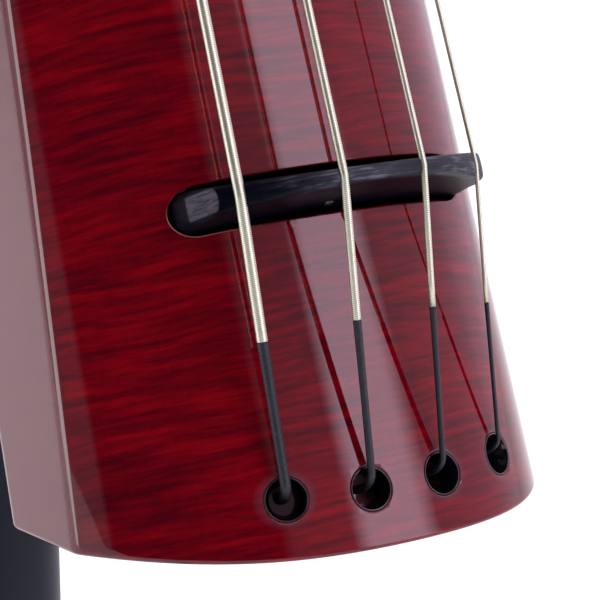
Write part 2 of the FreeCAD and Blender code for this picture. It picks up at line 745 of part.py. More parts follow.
def sketch_on(body, name, role="XY_Plane"):
    sketch = body.newObject("Sketcher::SketchObject", name)
    sketch.AttachmentSupport = (origin_plane(body, role), [""])
    sketch.MapMode = "FlatFace"
    return sketch


def sketch_circle(sketch, radius, out="0"):
    """A circle on the sketch's X axis, bound in radius and in distance from the origin."""
    index = sketch.addGeometry(Part.Circle(Vector(1, 0, 0), ALONG_Z, 1.0), False)
    number = sketch.addConstraint(Sketcher.Constraint("Radius", index, 1.0))
    sketch.setExpression(f"Constraints[{number}]", formula(radius))
    sketch.addConstraint(Sketcher.Constraint("PointOnObject", index, 3, -1))
    if out == "0":
        sketch.addConstraint(Sketcher.Constraint("PointOnObject", index, 3, -2))
        return
    number = sketch.addConstraint(Sketcher.Constraint("DistanceX", -1, 1, index, 3, 1.0))
    sketch.setExpression(f"Constraints[{number}]", formula(out))


def pad(body, sketch, length, name):
    item = body.newObject("PartDesign::Pad", name)
    item.Profile = sketch
    item.setExpression("Length", formula(length))
    return item


def pocket(body, sketch, length, name, upward=True):
    """A pocket that runs up from its sketch, into the padded solid."""
    item = body.newObject("PartDesign::Pocket", name)
    item.Profile = sketch
    item.Reversed = upward
    item.setExpression("Length", formula(length))
    return item


def star_knob(name, radius, bore):
    """A hand knob with six scallops, a hub below it and a blind bore up its middle."""
    body = doc.addObject("PartDesign::Body", name)
    disc = sketch_on(body, name + "_disc")
    sketch_circle(disc, radius)
    pad(body, disc, "knob_thickness", name + "_pad")
    scallop = sketch_on(body, name + "_scallop")
    sketch_circle(scallop, "knob_scallop", radius + " + knob_scallop * 0.55")
    groove = pocket(body, scallop, "knob_thickness", name + "_groove")
    doc.recompute()
    pattern = body.newObject("PartDesign::PolarPattern", name + "_pattern")
    pattern.Originals = [groove]
    pattern.Axis = (scallop, ["N_Axis"])
    pattern.Angle = 360
    pattern.Occurrences = 6
    body.Tip = pattern
    doc.recompute()
    hole = sketch_on(body, name + "_hole")
    sketch_circle(hole, bore)
    body.Tip = pocket(body, hole, "knob_thickness * 0.7", name + "_bore")
    doc.recompute()
    return body


# ---------------------------------------------------------------- controls

def side_wall_x(y):
    return half_width(y)


def dial(name, along, frame):
    """A round dial on a shaft that turns in its potentiometer."""
    wall = side_wall_x(size(along)) + 0.8
    level = size("control_level")
    cap = cylinder(name + "_cap", "dial_radius", "dial_height",
                   Vector(wall, size(along), level), ALONG_X)
    inner = size("cavity_half") - 6
    shaft = cylinder(name + "_shaft", "pot_shaft", f"{wall + 6 - inner}",
                     Vector(inner, size(along), level), ALONG_X)
    rounded = doc.addObject("Part::Fillet", name + "_round")
    rounded.Base = cap
    doc.recompute()
    rounded.Edges = [(number, 1.0, 1.0) for number, edge in enumerate(cap.Shape.Edges, 1)
                     if edge.BoundBox.XMin > wall + 1]
    keep(fused(name, rounded, shaft), name, frame)


def potentiometer(name, along):
    """A pot: a round case inside the cavity with a bush through the side wall."""
    wall, level = side_wall_x(size(along)), size("control_level")
    inner = size("cavity_half")
    case = cylinder(name + "_case", "pot_radius", "pot_length",
                    Vector(inner - size("pot_length"), size(along), level), ALONG_X)
    bush = cylinder(name + "_bush", "pot_bush", f"{wall - inner + 0.4}",
                    Vector(inner, size(along), level), ALONG_X)
    bore = cylinder(name + "_bore", "pot_shaft + running_gap", "40",
                    Vector(inner - 7, size(along), level), ALONG_X)
    return cut(name, fused(name + "_blank", case, bush), bore)


def output_jack(frame):
    """The socket: a bored barrel through the side wall with a flange outside."""
    along, level = size("jack_along"), size("control_level")
    wall = side_wall_x(along)
    barrel = cylinder("jack_barrel", "jack_radius", "jack_length + 2",
                      Vector(wall + 2 - size("jack_length"), along, level), ALONG_X)
    flange = cylinder("jack_flange", "jack_flange", "2.4", Vector(wall + 0.4, along, level), ALONG_X)
    bore = cylinder("jack_bore", "jack_bore", "jack_length",
                    Vector(wall + 4 - size("jack_length"), along, level), ALONG_X)
    keep(cut("output_jack", fused("jack_blank", barrel, flange), bore), "output_jack", frame)


def mode_switch(frame):
    """A small toggle: a bush in the side wall and a lever that rocks in its mouth."""
    along, level = size("switch_along"), size("control_level")
    wall, inner = side_wall_x(along), size("cavity_half")
    case = box("switch_case", "9", "8", "12", Vector(inner - 9, along - 4, level - 6))
    bush = cylinder("switch_neck", "pot_bush", f"{wall - inner + 3}",
                    Vector(inner, along, level), ALONG_X)
    mouth = cylinder("switch_mouth", "lever_radius * 2", "12", Vector(wall - 5, along, level),
                     ALONG_X)
    keep(cut("switch_bush", fused("switch_blank", case, bush), mouth), "switch_bush", frame)
    stem = cylinder("lever_stem", "lever_radius", "lever_length",
                    Vector(wall - 1, along, level), ALONG_X)
    tip = primitive("Sphere", "lever_tip",
                    Placement(Vector(wall - 1 + size("lever_length"), along, level), Rotation()),
                    Radius="lever_radius * 1.5")
    keep(fused("switch_lever", stem, tip), "switch_lever", frame)


def cavity_cover(frame):
    """The plate that closes the control cavity, with a screw in each corner."""
    body = doc.addObject("PartDesign::Body", "control_cover")
    sketch = sketch_on(body, "cover_outline")
    half, margin = size("cavity_half") + size("cover_margin"), size("cover_margin")
    low, high = size("cavity_start") - margin, size("cavity_start") + size("cavity_length") + margin
    corners = [Vector(-half, low), Vector(half, low), Vector(half, high), Vector(-half, high)]
    for start, end in zip(corners, corners[1:] + corners[:1]):
        sketch.addGeometry(Part.LineSegment(start, end), False)
    for index in range(4):
        sketch.addConstraint(Sketcher.Constraint("Coincident", index, 2, (index + 1) % 4, 1))
    for index, way in enumerate(("Horizontal", "Vertical", "Horizontal", "Vertical")):
        sketch.addConstraint(Sketcher.Constraint(way, index))
    bounds = (("DistanceX", 1, "cavity_half + cover_margin", half),
              ("DistanceY", 1, "cavity_start - cover_margin", low),
              ("DistanceX", 3, "-cavity_half - cover_margin", -half),
              ("DistanceY", 3, "cavity_start + cavity_length + cover_margin", high))
    for way, index, text, value in bounds:
        number = sketch.addConstraint(Sketcher.Constraint(way, index, 1, value))
        sketch.setExpression(f"Constraints[{number}]", formula(text))
    pad(body, sketch, "cover_thickness", "cover_plate")
    holes = sketch_on(body, "cover_holes")
    for place in cover_screw_places():
        holes.addGeometry(Part.Circle(Vector(place.x, place.y), ALONG_Z, size("cover_screw")))
    body.Tip = pocket(body, holes, "cover_thickness", "cover_screw_holes")
    doc.recompute()
    body.Placement = Placement(Vector(0, 0, body_back()), Rotation())
    keep(body, "control_cover", frame)


def screws(name, places, radius, length, head_radius, head, frame):
    """Alike pan-head screws, as separate solids of one node, driven up from below."""
    made = []
    for number, place in enumerate(places, 1):
        shank = cylinder(f"{name}_shank_{number}", radius, length, place)
        cap = cylinder(f"{name}_head_{number}", head_radius, head,
                       place - ALONG_Z * float(head))
        made.append(fused(f"{name}_{number}", shank, cap))
    keep(group_of(name, *made), name, frame)


def electronics(frame):
    level = body_back() + size("cover_thickness")
    left, clear = size("cavity_clearance") - size("cavity_half"), size("cavity_clearance")
    keep(box("battery", "battery_width", "battery_length", "battery_height",
             Vector(left, size("battery_along"), level + clear)), "battery", frame)
    keep(box("preamp_board", "circuit_width", "circuit_length", "circuit_thickness",
             Vector(left, size("circuit_along"), level + size("circuit_level"))),
         "preamp_board", frame)
    pots = [potentiometer("volume_pot", "volume_along"), potentiometer("tone_pot", "tone_along")]
    keep(group_of("potentiometers", *pots), "potentiometers", frame)
    dial("volume_dial", "volume_along", frame)
    dial("tone_dial", "tone_along", frame)
    output_jack(frame)
    mode_switch(frame)
    cavity_cover(frame)
    screws("cover_screws", cover_screw_places(), "cover_screw", "10", "2.6", "1.2", frame)


# ---------------------------------------------------------------- stand: tilt head and column

def tilt_bracket(frame):
    """A plate screwed to the body's back with two ears that carry the tilt pin."""
    middle, level = size("pivot_along"), -size("body_depth")
    behind = size("pivot_behind")
    half, length, thick = size("bracket_half_width"), size("bracket_length"), \
        size("bracket_thickness")
    plate = box("bracket_plate", "2 * bracket_half_width", "bracket_length", "bracket_thickness",
                Vector(-half, middle - length / 2, level - thick))
    parts = [plate]
    for side in (-1, 1):
        inner = size("ear_inner")
        low_x = inner if side > 0 else -inner - size("ear_thickness")
        web = box(f"bracket_web_{side + 1}", "ear_thickness", "2 * ear_round",
                  "pivot_behind - body_depth",
                  Vector(low_x, middle - size("ear_round"), -behind))
        end = cylinder(f"bracket_ear_{side + 1}", "ear_round", "ear_thickness",
                       Vector(low_x, middle, -behind), ALONG_X)
        parts += [web, end]
    bore = cylinder("bracket_bore", "tilt_pin_radius", "60", Vector(-30, middle, -behind), ALONG_X)
    holes = [cylinder(f"bracket_screw_hole_{number}", "cover_screw", "12", place - ALONG_Z * 8)
             for number, place in enumerate(bracket_screw_places(), 1)]
    keep(cut("tilt_bracket", fused("bracket_blank", *parts), bore, *holes), "tilt_bracket", frame)
    places = [place - ALONG_Z * thick for place in bracket_screw_places()]
    screws("bracket_screws", places, "cover_screw", "16", "3.4", "2", frame)


def tilt_pin(frame):
    """The pin through the ears: a head on the bass side and a free end for the knob."""
    middle, behind = size("pivot_along"), size("pivot_behind")
    outer = size("ear_inner") + size("ear_thickness")
    shank = cylinder("tilt_pin_shank", "tilt_pin_radius", f"{2 * outer + 9}",
                     Vector(-outer, middle, -behind), ALONG_X)
    head = cylinder("tilt_pin_head", "tilt_pin_radius + 4", "5",
                    Vector(-outer - 5, middle, -behind), ALONG_X)
    keep(fused("tilt_pin", shank, head), "tilt_pin", frame)


def tilt_knob(frame):
    knob = star_knob("tilt_knob", "tilt_knob_radius", "tilt_pin_radius + running_gap")
    outer = size("ear_inner") + size("ear_thickness") + 0.4
    knob.Placement = Placement(Vector(outer, size("pivot_along"), -size("pivot_behind")),
                               Rotation(ALONG_Z, ALONG_X))
    keep(knob, "tilt_knob", frame)


def column_frame():
    return Placement(Vector(0, size("column_back"), 0), Rotation())


def tilt_head(frame):
    """The block on the column's top: a socket for the tube and a tongue between the ears."""
    height = size("pivot_height")
    top = size("inner_tube_top")
    socket_top = top + 6
    socket = cylinder("tilt_head_socket", "socket_radius", "socket_length",
                      Vector(0, 0, socket_top - size("socket_length")))
    web = box("tilt_head_web", "tongue_width", "2 * knuckle_round", f"{height - socket_top + 2}",
              Vector(-size("tongue_width") / 2, -size("knuckle_round"), socket_top - 2))
    knuckle = cylinder("tilt_head_knuckle", "knuckle_round", "tongue_width",
                       Vector(-size("tongue_width") / 2, 0, height), ALONG_X)
    bore = cylinder("tilt_head_bore", "tilt_pin_radius + running_gap", "60",
                    Vector(-30, 0, height), ALONG_X)
    seat = cylinder("tilt_head_seat", "inner_tube_radius", "socket_length",
                    Vector(0, 0, top - size("socket_length")))
    blank = fused("tilt_head_blank", socket, web, knuckle)
    keep(cut("tilt_head", blank, bore, seat), "tilt_head", frame)


def tube(name, radius, wall, low, high, frame, *openings):
    """A straight tube standing on the column's axis."""
    outer = cylinder(name + "_outer", radius, f"{high} - {low}", Vector(0, 0, size(low)))
    inner = cylinder(name + "_inner", f"{radius} - {wall}", f"{high} - {low}",
                     Vector(0, 0, size(low)))
    keep(cut(name, outer, inner, *openings), name, frame)


def column(frame):
    tube("column_inner_tube", "inner_tube_radius", "tube_wall", "inner_tube_bottom",
         "inner_tube_top", frame)
    wall = "(outer_tube_radius - inner_tube_radius - sliding_gap)"
    tube("column_outer_tube", "outer_tube_radius", wall, "outer_tube_bottom", "outer_tube_top",
         frame, screw_bore("tube"))
    cap = cylinder("column_cap_disc", "outer_tube_radius + 1.5", "6",
                   Vector(0, 0, size("outer_tube_bottom") - 6))
    plug = cylinder("column_cap_plug", "inner_tube_radius + sliding_gap", "14",
                    Vector(0, 0, size("outer_tube_bottom")))
    keep(fused("column_cap", cap, plug), "column_cap", frame)


def screw_level():
    return size("outer_tube_top") - 14


def knob_direction():
    turn = Rotation(ALONG_Z, HEIGHT_KNOB_ANGLE)
    return turn.multVec(ALONG_X)


def screw_bore(name):
    return cylinder(name + "_screw_bore", "clamp_screw_radius + running_gap", "60",
                    Vector(0, 0, screw_level()), knob_direction())


def clamp_collar(frame):
    """The collar on the outer tube's mouth, with a lug for the clamp screw."""
    top = size("outer_tube_top")
    low = top + size("collar_lip") - size("collar_height")
    ring = cylinder("collar_ring", "collar_radius", "collar_height", Vector(0, 0, low))
    lug = cylinder("collar_lug", "lug_radius", "lug_reach", Vector(0, 0, screw_level()),
                   knob_direction())
    seat = cylinder("collar_seat", "outer_tube_radius", f"{top - low}", Vector(0, 0, low))
    mouth = cylinder("collar_mouth", "inner_tube_radius + sliding_gap", "40", Vector(0, 0, top - 20))
    blank = fused("collar_blank", ring, lug)
    keep(cut("clamp_collar", blank, seat, mouth, screw_bore("collar")), "clamp_collar", frame)


def height_knob(frame):
    """The clamp screw: a star knob fixed on a screw that reaches through the collar."""
    way = knob_direction()
    start = way * (size("lug_reach") + 0.4) + ALONG_Z * screw_level()
    knob = star_knob("height_knob", "height_knob_radius", "clamp_screw_radius")
    knob.Placement = Placement(start, Rotation(ALONG_Z, way))
    keep(knob, "height_knob", frame)
    tip = size("inner_tube_radius") + 0.3
    screw = cylinder("clamp_screw", "clamp_screw_radius",
                     f"lug_reach + 0.4 - {tip} + knob_thickness * 0.7",
                     way * tip + ALONG_Z * screw_level(), way)
    keep(screw, "clamp_screw", frame)


# ---------------------------------------------------------------- stand: tripod

def leg_frame(angle):
    """A leg's own frame: +X points out from the column, the pivot's axis is along Y."""
    return Placement(Vector(0, size("column_back"), 0), Rotation(ALONG_Z, angle))


def leg_pivot():
    return Vector(size("leg_pivot_out"), 0, size("leg_pivot_height"))


def leg_line():
    """The unit vector from a leg's pivot to the middle of its foot."""
    foot = Vector(size("foot_reach"), 0, size("foot_height"))
    return (foot - leg_pivot()).normalize()


def leg_length():
    foot = Vector(size("foot_reach"), 0, size("foot_height"))
    return (foot - leg_pivot()).Length


def ear_pair(angle):
    """Two ears of the hub, one each side of a leg's knuckle."""
    turn = Rotation(ALONG_Z, angle)
    gap = size("leg_knuckle_half") + 0.3
    thick = size("leg_ear_thickness")
    ears = []
    for side in (-1, 1):
        low_y = gap if side > 0 else -gap - thick
        name = f"hub_ear_{int(angle) % 360}_{side + 1}"
        web = box(name + "_web", "leg_pivot_out - 14", "leg_ear_thickness", "2 * leg_pivot_round",
                  Vector(14, low_y, size("leg_pivot_height") - size("leg_pivot_round")))
        end = cylinder(name + "_end", "leg_pivot_round", "leg_ear_thickness",
                       Vector(size("leg_pivot_out"), low_y, size("leg_pivot_height")), ALONG_Y)
        for item in (web, end):
            item.Placement = Placement(Vector(), turn).multiply(item.Placement)
            ears.append(item)
    return ears


def leg_bolt_tool(name, angle, radius, half):
    """A rod on a leg's pivot axis."""
    rod_item = cylinder(name, radius, f"{2 * half}",
                        Vector(size("leg_pivot_out"), -half, size("leg_pivot_height")), ALONG_Y)
    rod_item.Placement = Placement(Vector(), Rotation(ALONG_Z, angle)).multiply(rod_item.Placement)
    return rod_item


def tripod_hub(frame):
    """The casting that holds the column and, between its ears, the three legs."""
    core = cylinder("hub_core", "hub_radius", "hub_height", Vector(0, 0, size("hub_bottom")))
    neck = cylinder("hub_neck", "hub_radius - 4", "hub_height + 14",
                    Vector(0, 0, size("hub_bottom") - 7))
    ears = [ear for angle in LEG_ANGLES.values() for ear in ear_pair(angle)]
    bore = cylinder("hub_bore", "outer_tube_radius", "200", Vector(0, 0, 0))
    rooms, bolts = [], []
    for name, angle in LEG_ANGLES.items():
        room = box(f"hub_room_{name}", "40", "2 * leg_knuckle_half + 0.6", "hub_height + 40",
                   Vector(size("outer_tube_radius") + 7, -size("leg_knuckle_half") - 0.3,
                          size("hub_bottom") - 20))
        room.Placement = Placement(Vector(), Rotation(ALONG_Z, angle)).multiply(room.Placement)
        rooms.append(room)
        bolts.append(leg_bolt_tool(f"hub_bolt_bore_{name}", angle, "leg_bolt_radius", 40))
    blank = fused("hub_blank", core, neck, *ears)
    keep(cut("tripod_hub", blank, bore, *rooms, *bolts), "tripod_hub", frame)


def leg_bolts(frame):
    """The three pivot bolts, each with a head and a nut outside the ears."""
    outer = size("leg_knuckle_half") + 0.3 + size("leg_ear_thickness")
    made = []
    for name, angle in LEG_ANGLES.items():
        shank = leg_bolt_tool(f"bolt_shank_{name}", angle, "leg_bolt_radius", outer + 3)
        ends = []
        for side in (-1, 1):
            low = outer if side > 0 else -outer - 4
            end = cylinder(f"bolt_end_{name}_{side + 1}", "leg_bolt_head", "4",
                           Vector(size("leg_pivot_out"), low, size("leg_pivot_height")), ALONG_Y)
            end.Placement = Placement(Vector(), Rotation(ALONG_Z, angle)).multiply(end.Placement)
            ends.append(end)
        made.append(fused(f"leg_bolt_{name}", shank, *ends))
    keep(group_of("leg_bolts", *made), "leg_bolts", frame)


def leg(name, angle):
    """One leg: a knuckle on the pivot, a tube plugged on it and a rubber foot."""
    frame, pivot, line = leg_frame(angle), leg_pivot(), leg_line()
    half, start = size("leg_knuckle_half"), size("leg_tube_start")
    eye = cylinder(f"knuckle_{name}_eye", "leg_pivot_round - 0.6", "2 * leg_knuckle_half",
                   pivot - ALONG_Y * half, ALONG_Y)
    web = doc.addObject("Part::Box", f"knuckle_{name}_web")
    web.setExpression("Length", formula("leg_tube_start"))
    web.setExpression("Width", formula("2 * leg_knuckle_half"))
    web.setExpression("Height", formula("1.8 * leg_knuckle_half"))
    turn = Rotation(ALONG_X, line)
    web.Placement = Placement(pivot + turn.multVec(Vector(0, -half, -0.9 * half)), turn)
    shoulder = cylinder(f"knuckle_{name}_shoulder", "leg_tube_radius + 1.2", "5",
                        pivot + line * (start - 5), line)
    plug = cylinder(f"knuckle_{name}_plug", "leg_tube_radius - leg_tube_wall", "24",
                    pivot + line * start, line)
    bore = cylinder(f"knuckle_{name}_bore", "leg_bolt_radius + running_gap", "40",
                    pivot - ALONG_Y * 20, ALONG_Y)
    blank = fused(f"knuckle_{name}_blank", eye, web, shoulder, plug)
    keep(cut(f"leg_knuckle_{name}", blank, bore), f"leg_knuckle_{name}", frame)

    reach = leg_length() - 10
    outer = cylinder(f"leg_{name}_outer", "leg_tube_radius", f"{reach} - leg_tube_start",
                     pivot + line * start, line)
    inner = cylinder(f"leg_{name}_inner", "leg_tube_radius - leg_tube_wall",
                     f"{reach} - leg_tube_start", pivot + line * start, line)
    keep(cut(f"leg_tube_{name}", outer, inner), f"leg_tube_{name}", frame)

    foot = pivot + line * leg_length()
    ball = primitive("Sphere", f"foot_{name}_ball", Placement(foot, Rotation()),
                     Radius="foot_radius")
    sleeve = cylinder(f"foot_{name}_sleeve", "foot_sleeve", "foot_sleeve_length",
                      foot - line * size("foot_sleeve_length"), line)
    floor = box(f"foot_{name}_floor", "80", "80", "40", foot + Vector(-40, -40, -foot.z - 40))
    seat = cylinder(f"foot_{name}_seat", "leg_tube_radius", "60", pivot + line * (reach - 60), line)
    blank = fused(f"foot_{name}_blank", ball, sleeve)
    keep(cut(f"foot_{name}", blank, floor, seat), f"foot_{name}", frame)


# ---------------------------------------------------------------- assembly

def instrument(frame):
    keep(feature("body", body_shape()), "body", frame)
    keep(feature("neck", neck_shape()), "neck", frame)
    keep(feature("fingerboard", fingerboard_shape()), "fingerboard", frame)
    keep(feature("nut", nut_shape()), "nut", frame)
    keep(feature("truss_rod", truss_rod_shape()), "truss_rod", frame)
    keep(feature("bridge", bridge_shape()), "bridge", frame)
    bridge_pickup(frame)
    strings_and_anchors(frame)
    tuning_machines(frame)
    electronics(frame)
    screws("neck_bolts", neck_bolt_places(), "neck_bolt_radius", "neck_bolt_length",
           "neck_bolt_head", "4", frame)


def stand(frame):
    tilt_bracket(frame)
    tilt_pin(frame)
    tilt_knob(frame)
    upright = column_frame()
    tilt_head(upright)
    column(upright)
    clamp_collar(upright)
    height_knob(upright)
    tripod_hub(upright)
    leg_bolts(upright)
    for name, angle in LEG_ANGLES.items():
        leg(name, angle)


def check_and_write():
    """Refuse a failed or broken object, then write one STEP file per sub-part."""
    doc.recompute()
    for item in doc.Objects:
        if {"Invalid", "Error"} & set(item.State):
            raise RuntimeError(f"{item.Label} did not recompute: {item.State}")
    os.makedirs("parts", exist_ok=True)
    for item in nodes:
        shape = item.Shape
        if shape.isNull() or not shape.isValid() or not shape.Solids:
            raise RuntimeError(f"{item.Label} is not a sound solid")
        shape.exportStep(f"parts/{item.Label}.step")
    whole = FreeCAD.BoundBox()
    for item in nodes:
        whole.add(item.Shape.BoundBox)
    print(f"{len(nodes)} sub-parts, box X {whole.XMin:.2f}..{whole.XMax:.2f} "
          f"Y {whole.YMin:.2f}..{whole.YMax:.2f} Z {whole.ZMin:.2f}..{whole.ZMax:.2f}")


fill_sheet()
leaned = instrument_frame()
instrument(leaned)
stand(leaned)
check_and_write()
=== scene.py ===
"""Looks of the electric cello on its tripod stand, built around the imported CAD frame, in metres."""
import json
import math

import bmesh
import bpy
from mathutils import Matrix, Vector


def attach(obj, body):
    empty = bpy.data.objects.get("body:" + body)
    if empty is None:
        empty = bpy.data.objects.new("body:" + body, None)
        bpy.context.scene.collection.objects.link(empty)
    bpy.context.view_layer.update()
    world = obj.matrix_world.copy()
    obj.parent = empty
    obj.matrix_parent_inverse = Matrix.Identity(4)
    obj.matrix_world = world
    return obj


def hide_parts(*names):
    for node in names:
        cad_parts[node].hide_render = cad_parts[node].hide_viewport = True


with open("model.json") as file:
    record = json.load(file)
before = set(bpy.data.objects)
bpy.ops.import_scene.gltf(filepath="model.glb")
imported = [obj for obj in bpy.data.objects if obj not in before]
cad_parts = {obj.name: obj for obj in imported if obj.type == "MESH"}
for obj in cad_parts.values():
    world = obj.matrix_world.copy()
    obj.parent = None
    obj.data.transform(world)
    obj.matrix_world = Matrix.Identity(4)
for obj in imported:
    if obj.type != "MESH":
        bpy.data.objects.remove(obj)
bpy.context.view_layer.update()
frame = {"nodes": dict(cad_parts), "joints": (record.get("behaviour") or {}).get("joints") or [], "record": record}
nodes = frame["nodes"]

# The instrument's own frame: X to the treble side, Y towards the head, Z out of the arched top.
LEAN = math.radians(24.0)
PIVOT_ALONG, PIVOT_BEHIND = 0.138, 0.100
TURN = Matrix.Rotation(math.pi / 2 - LEAN, 3, "X")
pivot = Vector(next(j["pos_m"] for j in frame["joints"] if j["name"] == "instrument_tilt"))
ORIGIN = pivot - TURN @ Vector((0, PIVOT_ALONG, -PIVOT_BEHIND))
TO_ROW = Matrix.Translation(ORIGIN) @ TURN.to_4x4()

# Driving sizes of the body, shared with the CAD model apart from the edges and lips.
HALF_WIDTH, TAPER = 0.0446, 0.042
ARCH_2, ARCH_4 = 6.24, 3990.0
DEPTH, BODY_END, TAIL, TAIL_SLOPE, SHEAR_END = 0.0598, 0.400, 0.0608, 0.30, 0.02
HEEL_START, HEEL_RISE = 0.310, 0.026
EDGE, SIDE_EDGE, BACK_EDGE = 0.0010, 0.0065, 0.004
SLOT_HALF, SLOT_WIDTH, SLOT_CENTRE, SLOT_DEPTH = 0.0291, 0.0082, 0.0006, 0.024
SLOT_LIP, HOLE_LIP, CUTTER_ROOF = 0.00045, 0.0006, 0.004  # the roof: above the arched top
FINGERBOARD_LAND = ((-0.06, 0.112, -0.006), (0.06, 0.45, 0.03))
COVER_RECESS = ((-0.028, 0.179, -0.07), (0.028, 0.294, -DEPTH + 0.0025))
NECK_BOLTS, NECK_BOLT_BORE = (0.330, 0.372), 0.0045
NECK_BOLT_START, NECK_BOLT_DEPTH = -0.066, 0.03
# Along the treble side: the jack, the volume and tone shafts and the switch, with bore radii.
CONTROL_BORES = ((0.197, 0.0055), (0.224, 0.0037), (0.250, 0.0037), (0.274, 0.0037))
CONTROL_LEVEL, CONTROL_BORE_DEPTH = -0.044, 0.03

# The collars in the anchor holes.
BUSH_RADIUS, BUSH_BORE, BUSH_LENGTH = 0.00375, 0.0025, 0.007
COLLAR_GAP, COLLAR_LIP, COLLAR_SUNK = 0.00002, 0.00013, 0.0003
FUNNEL_DEPTH, FUNNEL_CURVE = 0.0036, 0.8

# The bridge: upright up to its lean start, thinning from there to its crown.
BRIDGE_TOP_HALF, BRIDGE_HALF, BRIDGE_SHOULDER = 0.0265, 0.0283, -0.0032
BRIDGE_THIN, BRIDGE_THIN_CENTRE, BRIDGE_THICK = 0.0024, -0.00005, 0.0066
BRIDGE_LEAN_START, BRIDGE_FOOT, BRIDGE_GAP = -0.005, -0.022, 0.0003
BRIDGE_CROWN, BRIDGE_ARC = 0.0152, 0.0376
CREST_SWELL, CREST_ROUND, CREST_ROUND_SHARE = 0.00012, 0.0009, 0.32
TAB_ACROSS, TAB_HALF, TAB_LOW, TAB_HIGH = -0.0042, 0.0008, -0.0018, 0.0025

# The strings, from the bass side.
STRING_RADII = {"c": 0.00095, "g": 0.00070, "d": 0.00055, "a": 0.00039}
STRINGS = tuple(STRING_RADII)
STRING_LENGTH, STRING_STEP, METAL_BELOW_BRIDGE = 0.692, 0.01567, 0.024
NUT_STEP, NUT_CROWN, NUT_ARC = 0.00747, 0.0155, 0.060
HOLE_STEP, HOLE_SHIFT, HOLE_ALONG, HOLE_BOW, HOLE_SPREAD = 0.0145, 0.00055, -0.0492, 0.0014, 0.02175
RIBBED, RIBBED_SHARE, RIB_SHARE, WINDING_PITCH = ("c", "g"), 0.11, 0.022, 0.00030
THREAD, THREAD_PITCH, SILK_WAIST, SILK_WAIST_END = 0.00005, 0.00042, 0.12, 0.8
SILK_BEND, SILK_APPROACH, SILK_BELOW = (0, 0.0009, 0.0006), 0.86, 0.006
GROOVE_ROOM = 1.12


# ---------------------------------------------------------------- the instrument's places

def arch(x):
    """Height of the arched top against its crown."""
    return -(ARCH_2 * x ** 2 + ARCH_4 * x ** 4)


def arch_slope(x):
    return -(2 * ARCH_2 * x + 4 * ARCH_4 * x ** 3)


def half_width(y):
    return HALF_WIDTH - TAPER * y


def on_arc(x, crown, radius):
    return crown - radius + math.sqrt(radius ** 2 - x ** 2)


def at_bridge(index):
    x = (index - 1.5) * STRING_STEP
    return Vector((x, 0, on_arc(x, BRIDGE_CROWN, BRIDGE_ARC)))


def at_nut(index):
    x = (index - 1.5) * NUT_STEP
    return Vector((x, STRING_LENGTH, on_arc(x, NUT_CROWN, NUT_ARC)))


def at_hole(index):
    """The middle of an anchor hole; the row of four bows a little towards the tail."""
    x = (index - 1.5) * HOLE_STEP + HOLE_SHIFT
    bow = HOLE_BOW * (1 - (x / HOLE_SPREAD) ** 2)
    return Vector((x, HOLE_ALONG - bow, arch(x)))


def mouth_axis(index):
    """Straight into the arched top at an anchor hole."""
    return Vector((arch_slope(at_hole(index).x), 0, -1)).normalized()


def at_silk(index):
    """Where a string's metal ends and its silk wrap starts."""
    start = at_bridge(index)
    return start + (at_hole(index) - start).normalized() * METAL_BELOW_BRIDGE


def anchor_axis():
    """Square to the undercut tail: the way that the strings leave through the back."""
    return Vector((0, TAIL_SLOPE, -1)).normalized()


# ---------------------------------------------------------------- mesh helpers

def mesh_object(name, points, faces, place=TO_ROW, smooth=True):
    """A mesh from points in the instrument's frame, unless another place is given."""
    mesh = bpy.data.meshes.new(name)
    mesh.from_pydata([place @ Vector(p) for p in points], [], faces)
    mesh.validate()
    piece = bpy.data.objects.new(name, mesh)
    bpy.context.scene.collection.objects.link(piece)
    for face in mesh.polygons:
        face.use_smooth = smooth
    return piece


def ring_faces(rings, count, capped=True):
    """Quads between successive closed rings of the same count, with optional end caps."""
    faces = []
    for r in range(rings - 1):
        a, b = r * count, (r + 1) * count
        for i in range(count):
            j = (i + 1) % count
            faces.append((a + i, a + j, b + j, b + i))
    if capped:
        faces.append(tuple(reversed(range(count))))
        faces.append(tuple(range((rings - 1) * count, rings * count)))
    return faces


def outward(piece):
    """Turn every face to look outwards."""
    work = bmesh.new()
    work.from_mesh(piece.data)
    bmesh.ops.recalc_face_normals(work, faces=work.faces)
    work.to_mesh(piece.data)
    work.free()
    return piece


def circle(centre, side, up, radius, sides):
    """Points round a centre, in the plane of two unit vectors."""
    turns = [2 * math.pi * i / sides for i in range(sides)]
    return [centre + (side * math.cos(turn) + up * math.sin(turn)) * radius for turn in turns]


def quarter(steps):
    """(1 - cos, 1 - sin) over a quarter turn: how a round of radius 1 falls away and rises."""
    turns = [math.pi / 2 * i / steps for i in range(steps + 1)]
    return [(1 - math.cos(turn), 1 - math.sin(turn)) for turn in turns]


def soften(piece, degrees):
    """Smooth shading that stays sharp over an angle."""
    piece.data.set_sharp_from_angle(angle=math.radians(degrees))
    for face in piece.data.polygons:
        face.use_smooth = True


def carve(piece, cutters):
    """Boolean cuts, applied to the mesh, after which the cutters are removed."""
    for cutter in cutters:
        outward(cutter)
        step = piece.modifiers.new("cut", "BOOLEAN")
        step.operation, step.object, step.solver = "DIFFERENCE", cutter, "MANIFOLD"
    bpy.context.view_layer.update()
    carved = piece.evaluated_get(bpy.context.evaluated_depsgraph_get())
    mesh = bpy.data.meshes.new_from_object(carved)
    piece.modifiers.clear()
    piece.data = mesh
    for cutter in cutters:
        bpy.data.objects.remove(cutter)


def weigh_normals(piece):
    """Let the large faces rule the shading, so that small rims don't dent the gloss."""
    step = piece.modifiers.new("weighted", "WEIGHTED_NORMAL")
    step.keep_sharp = True
    step.weight = 90


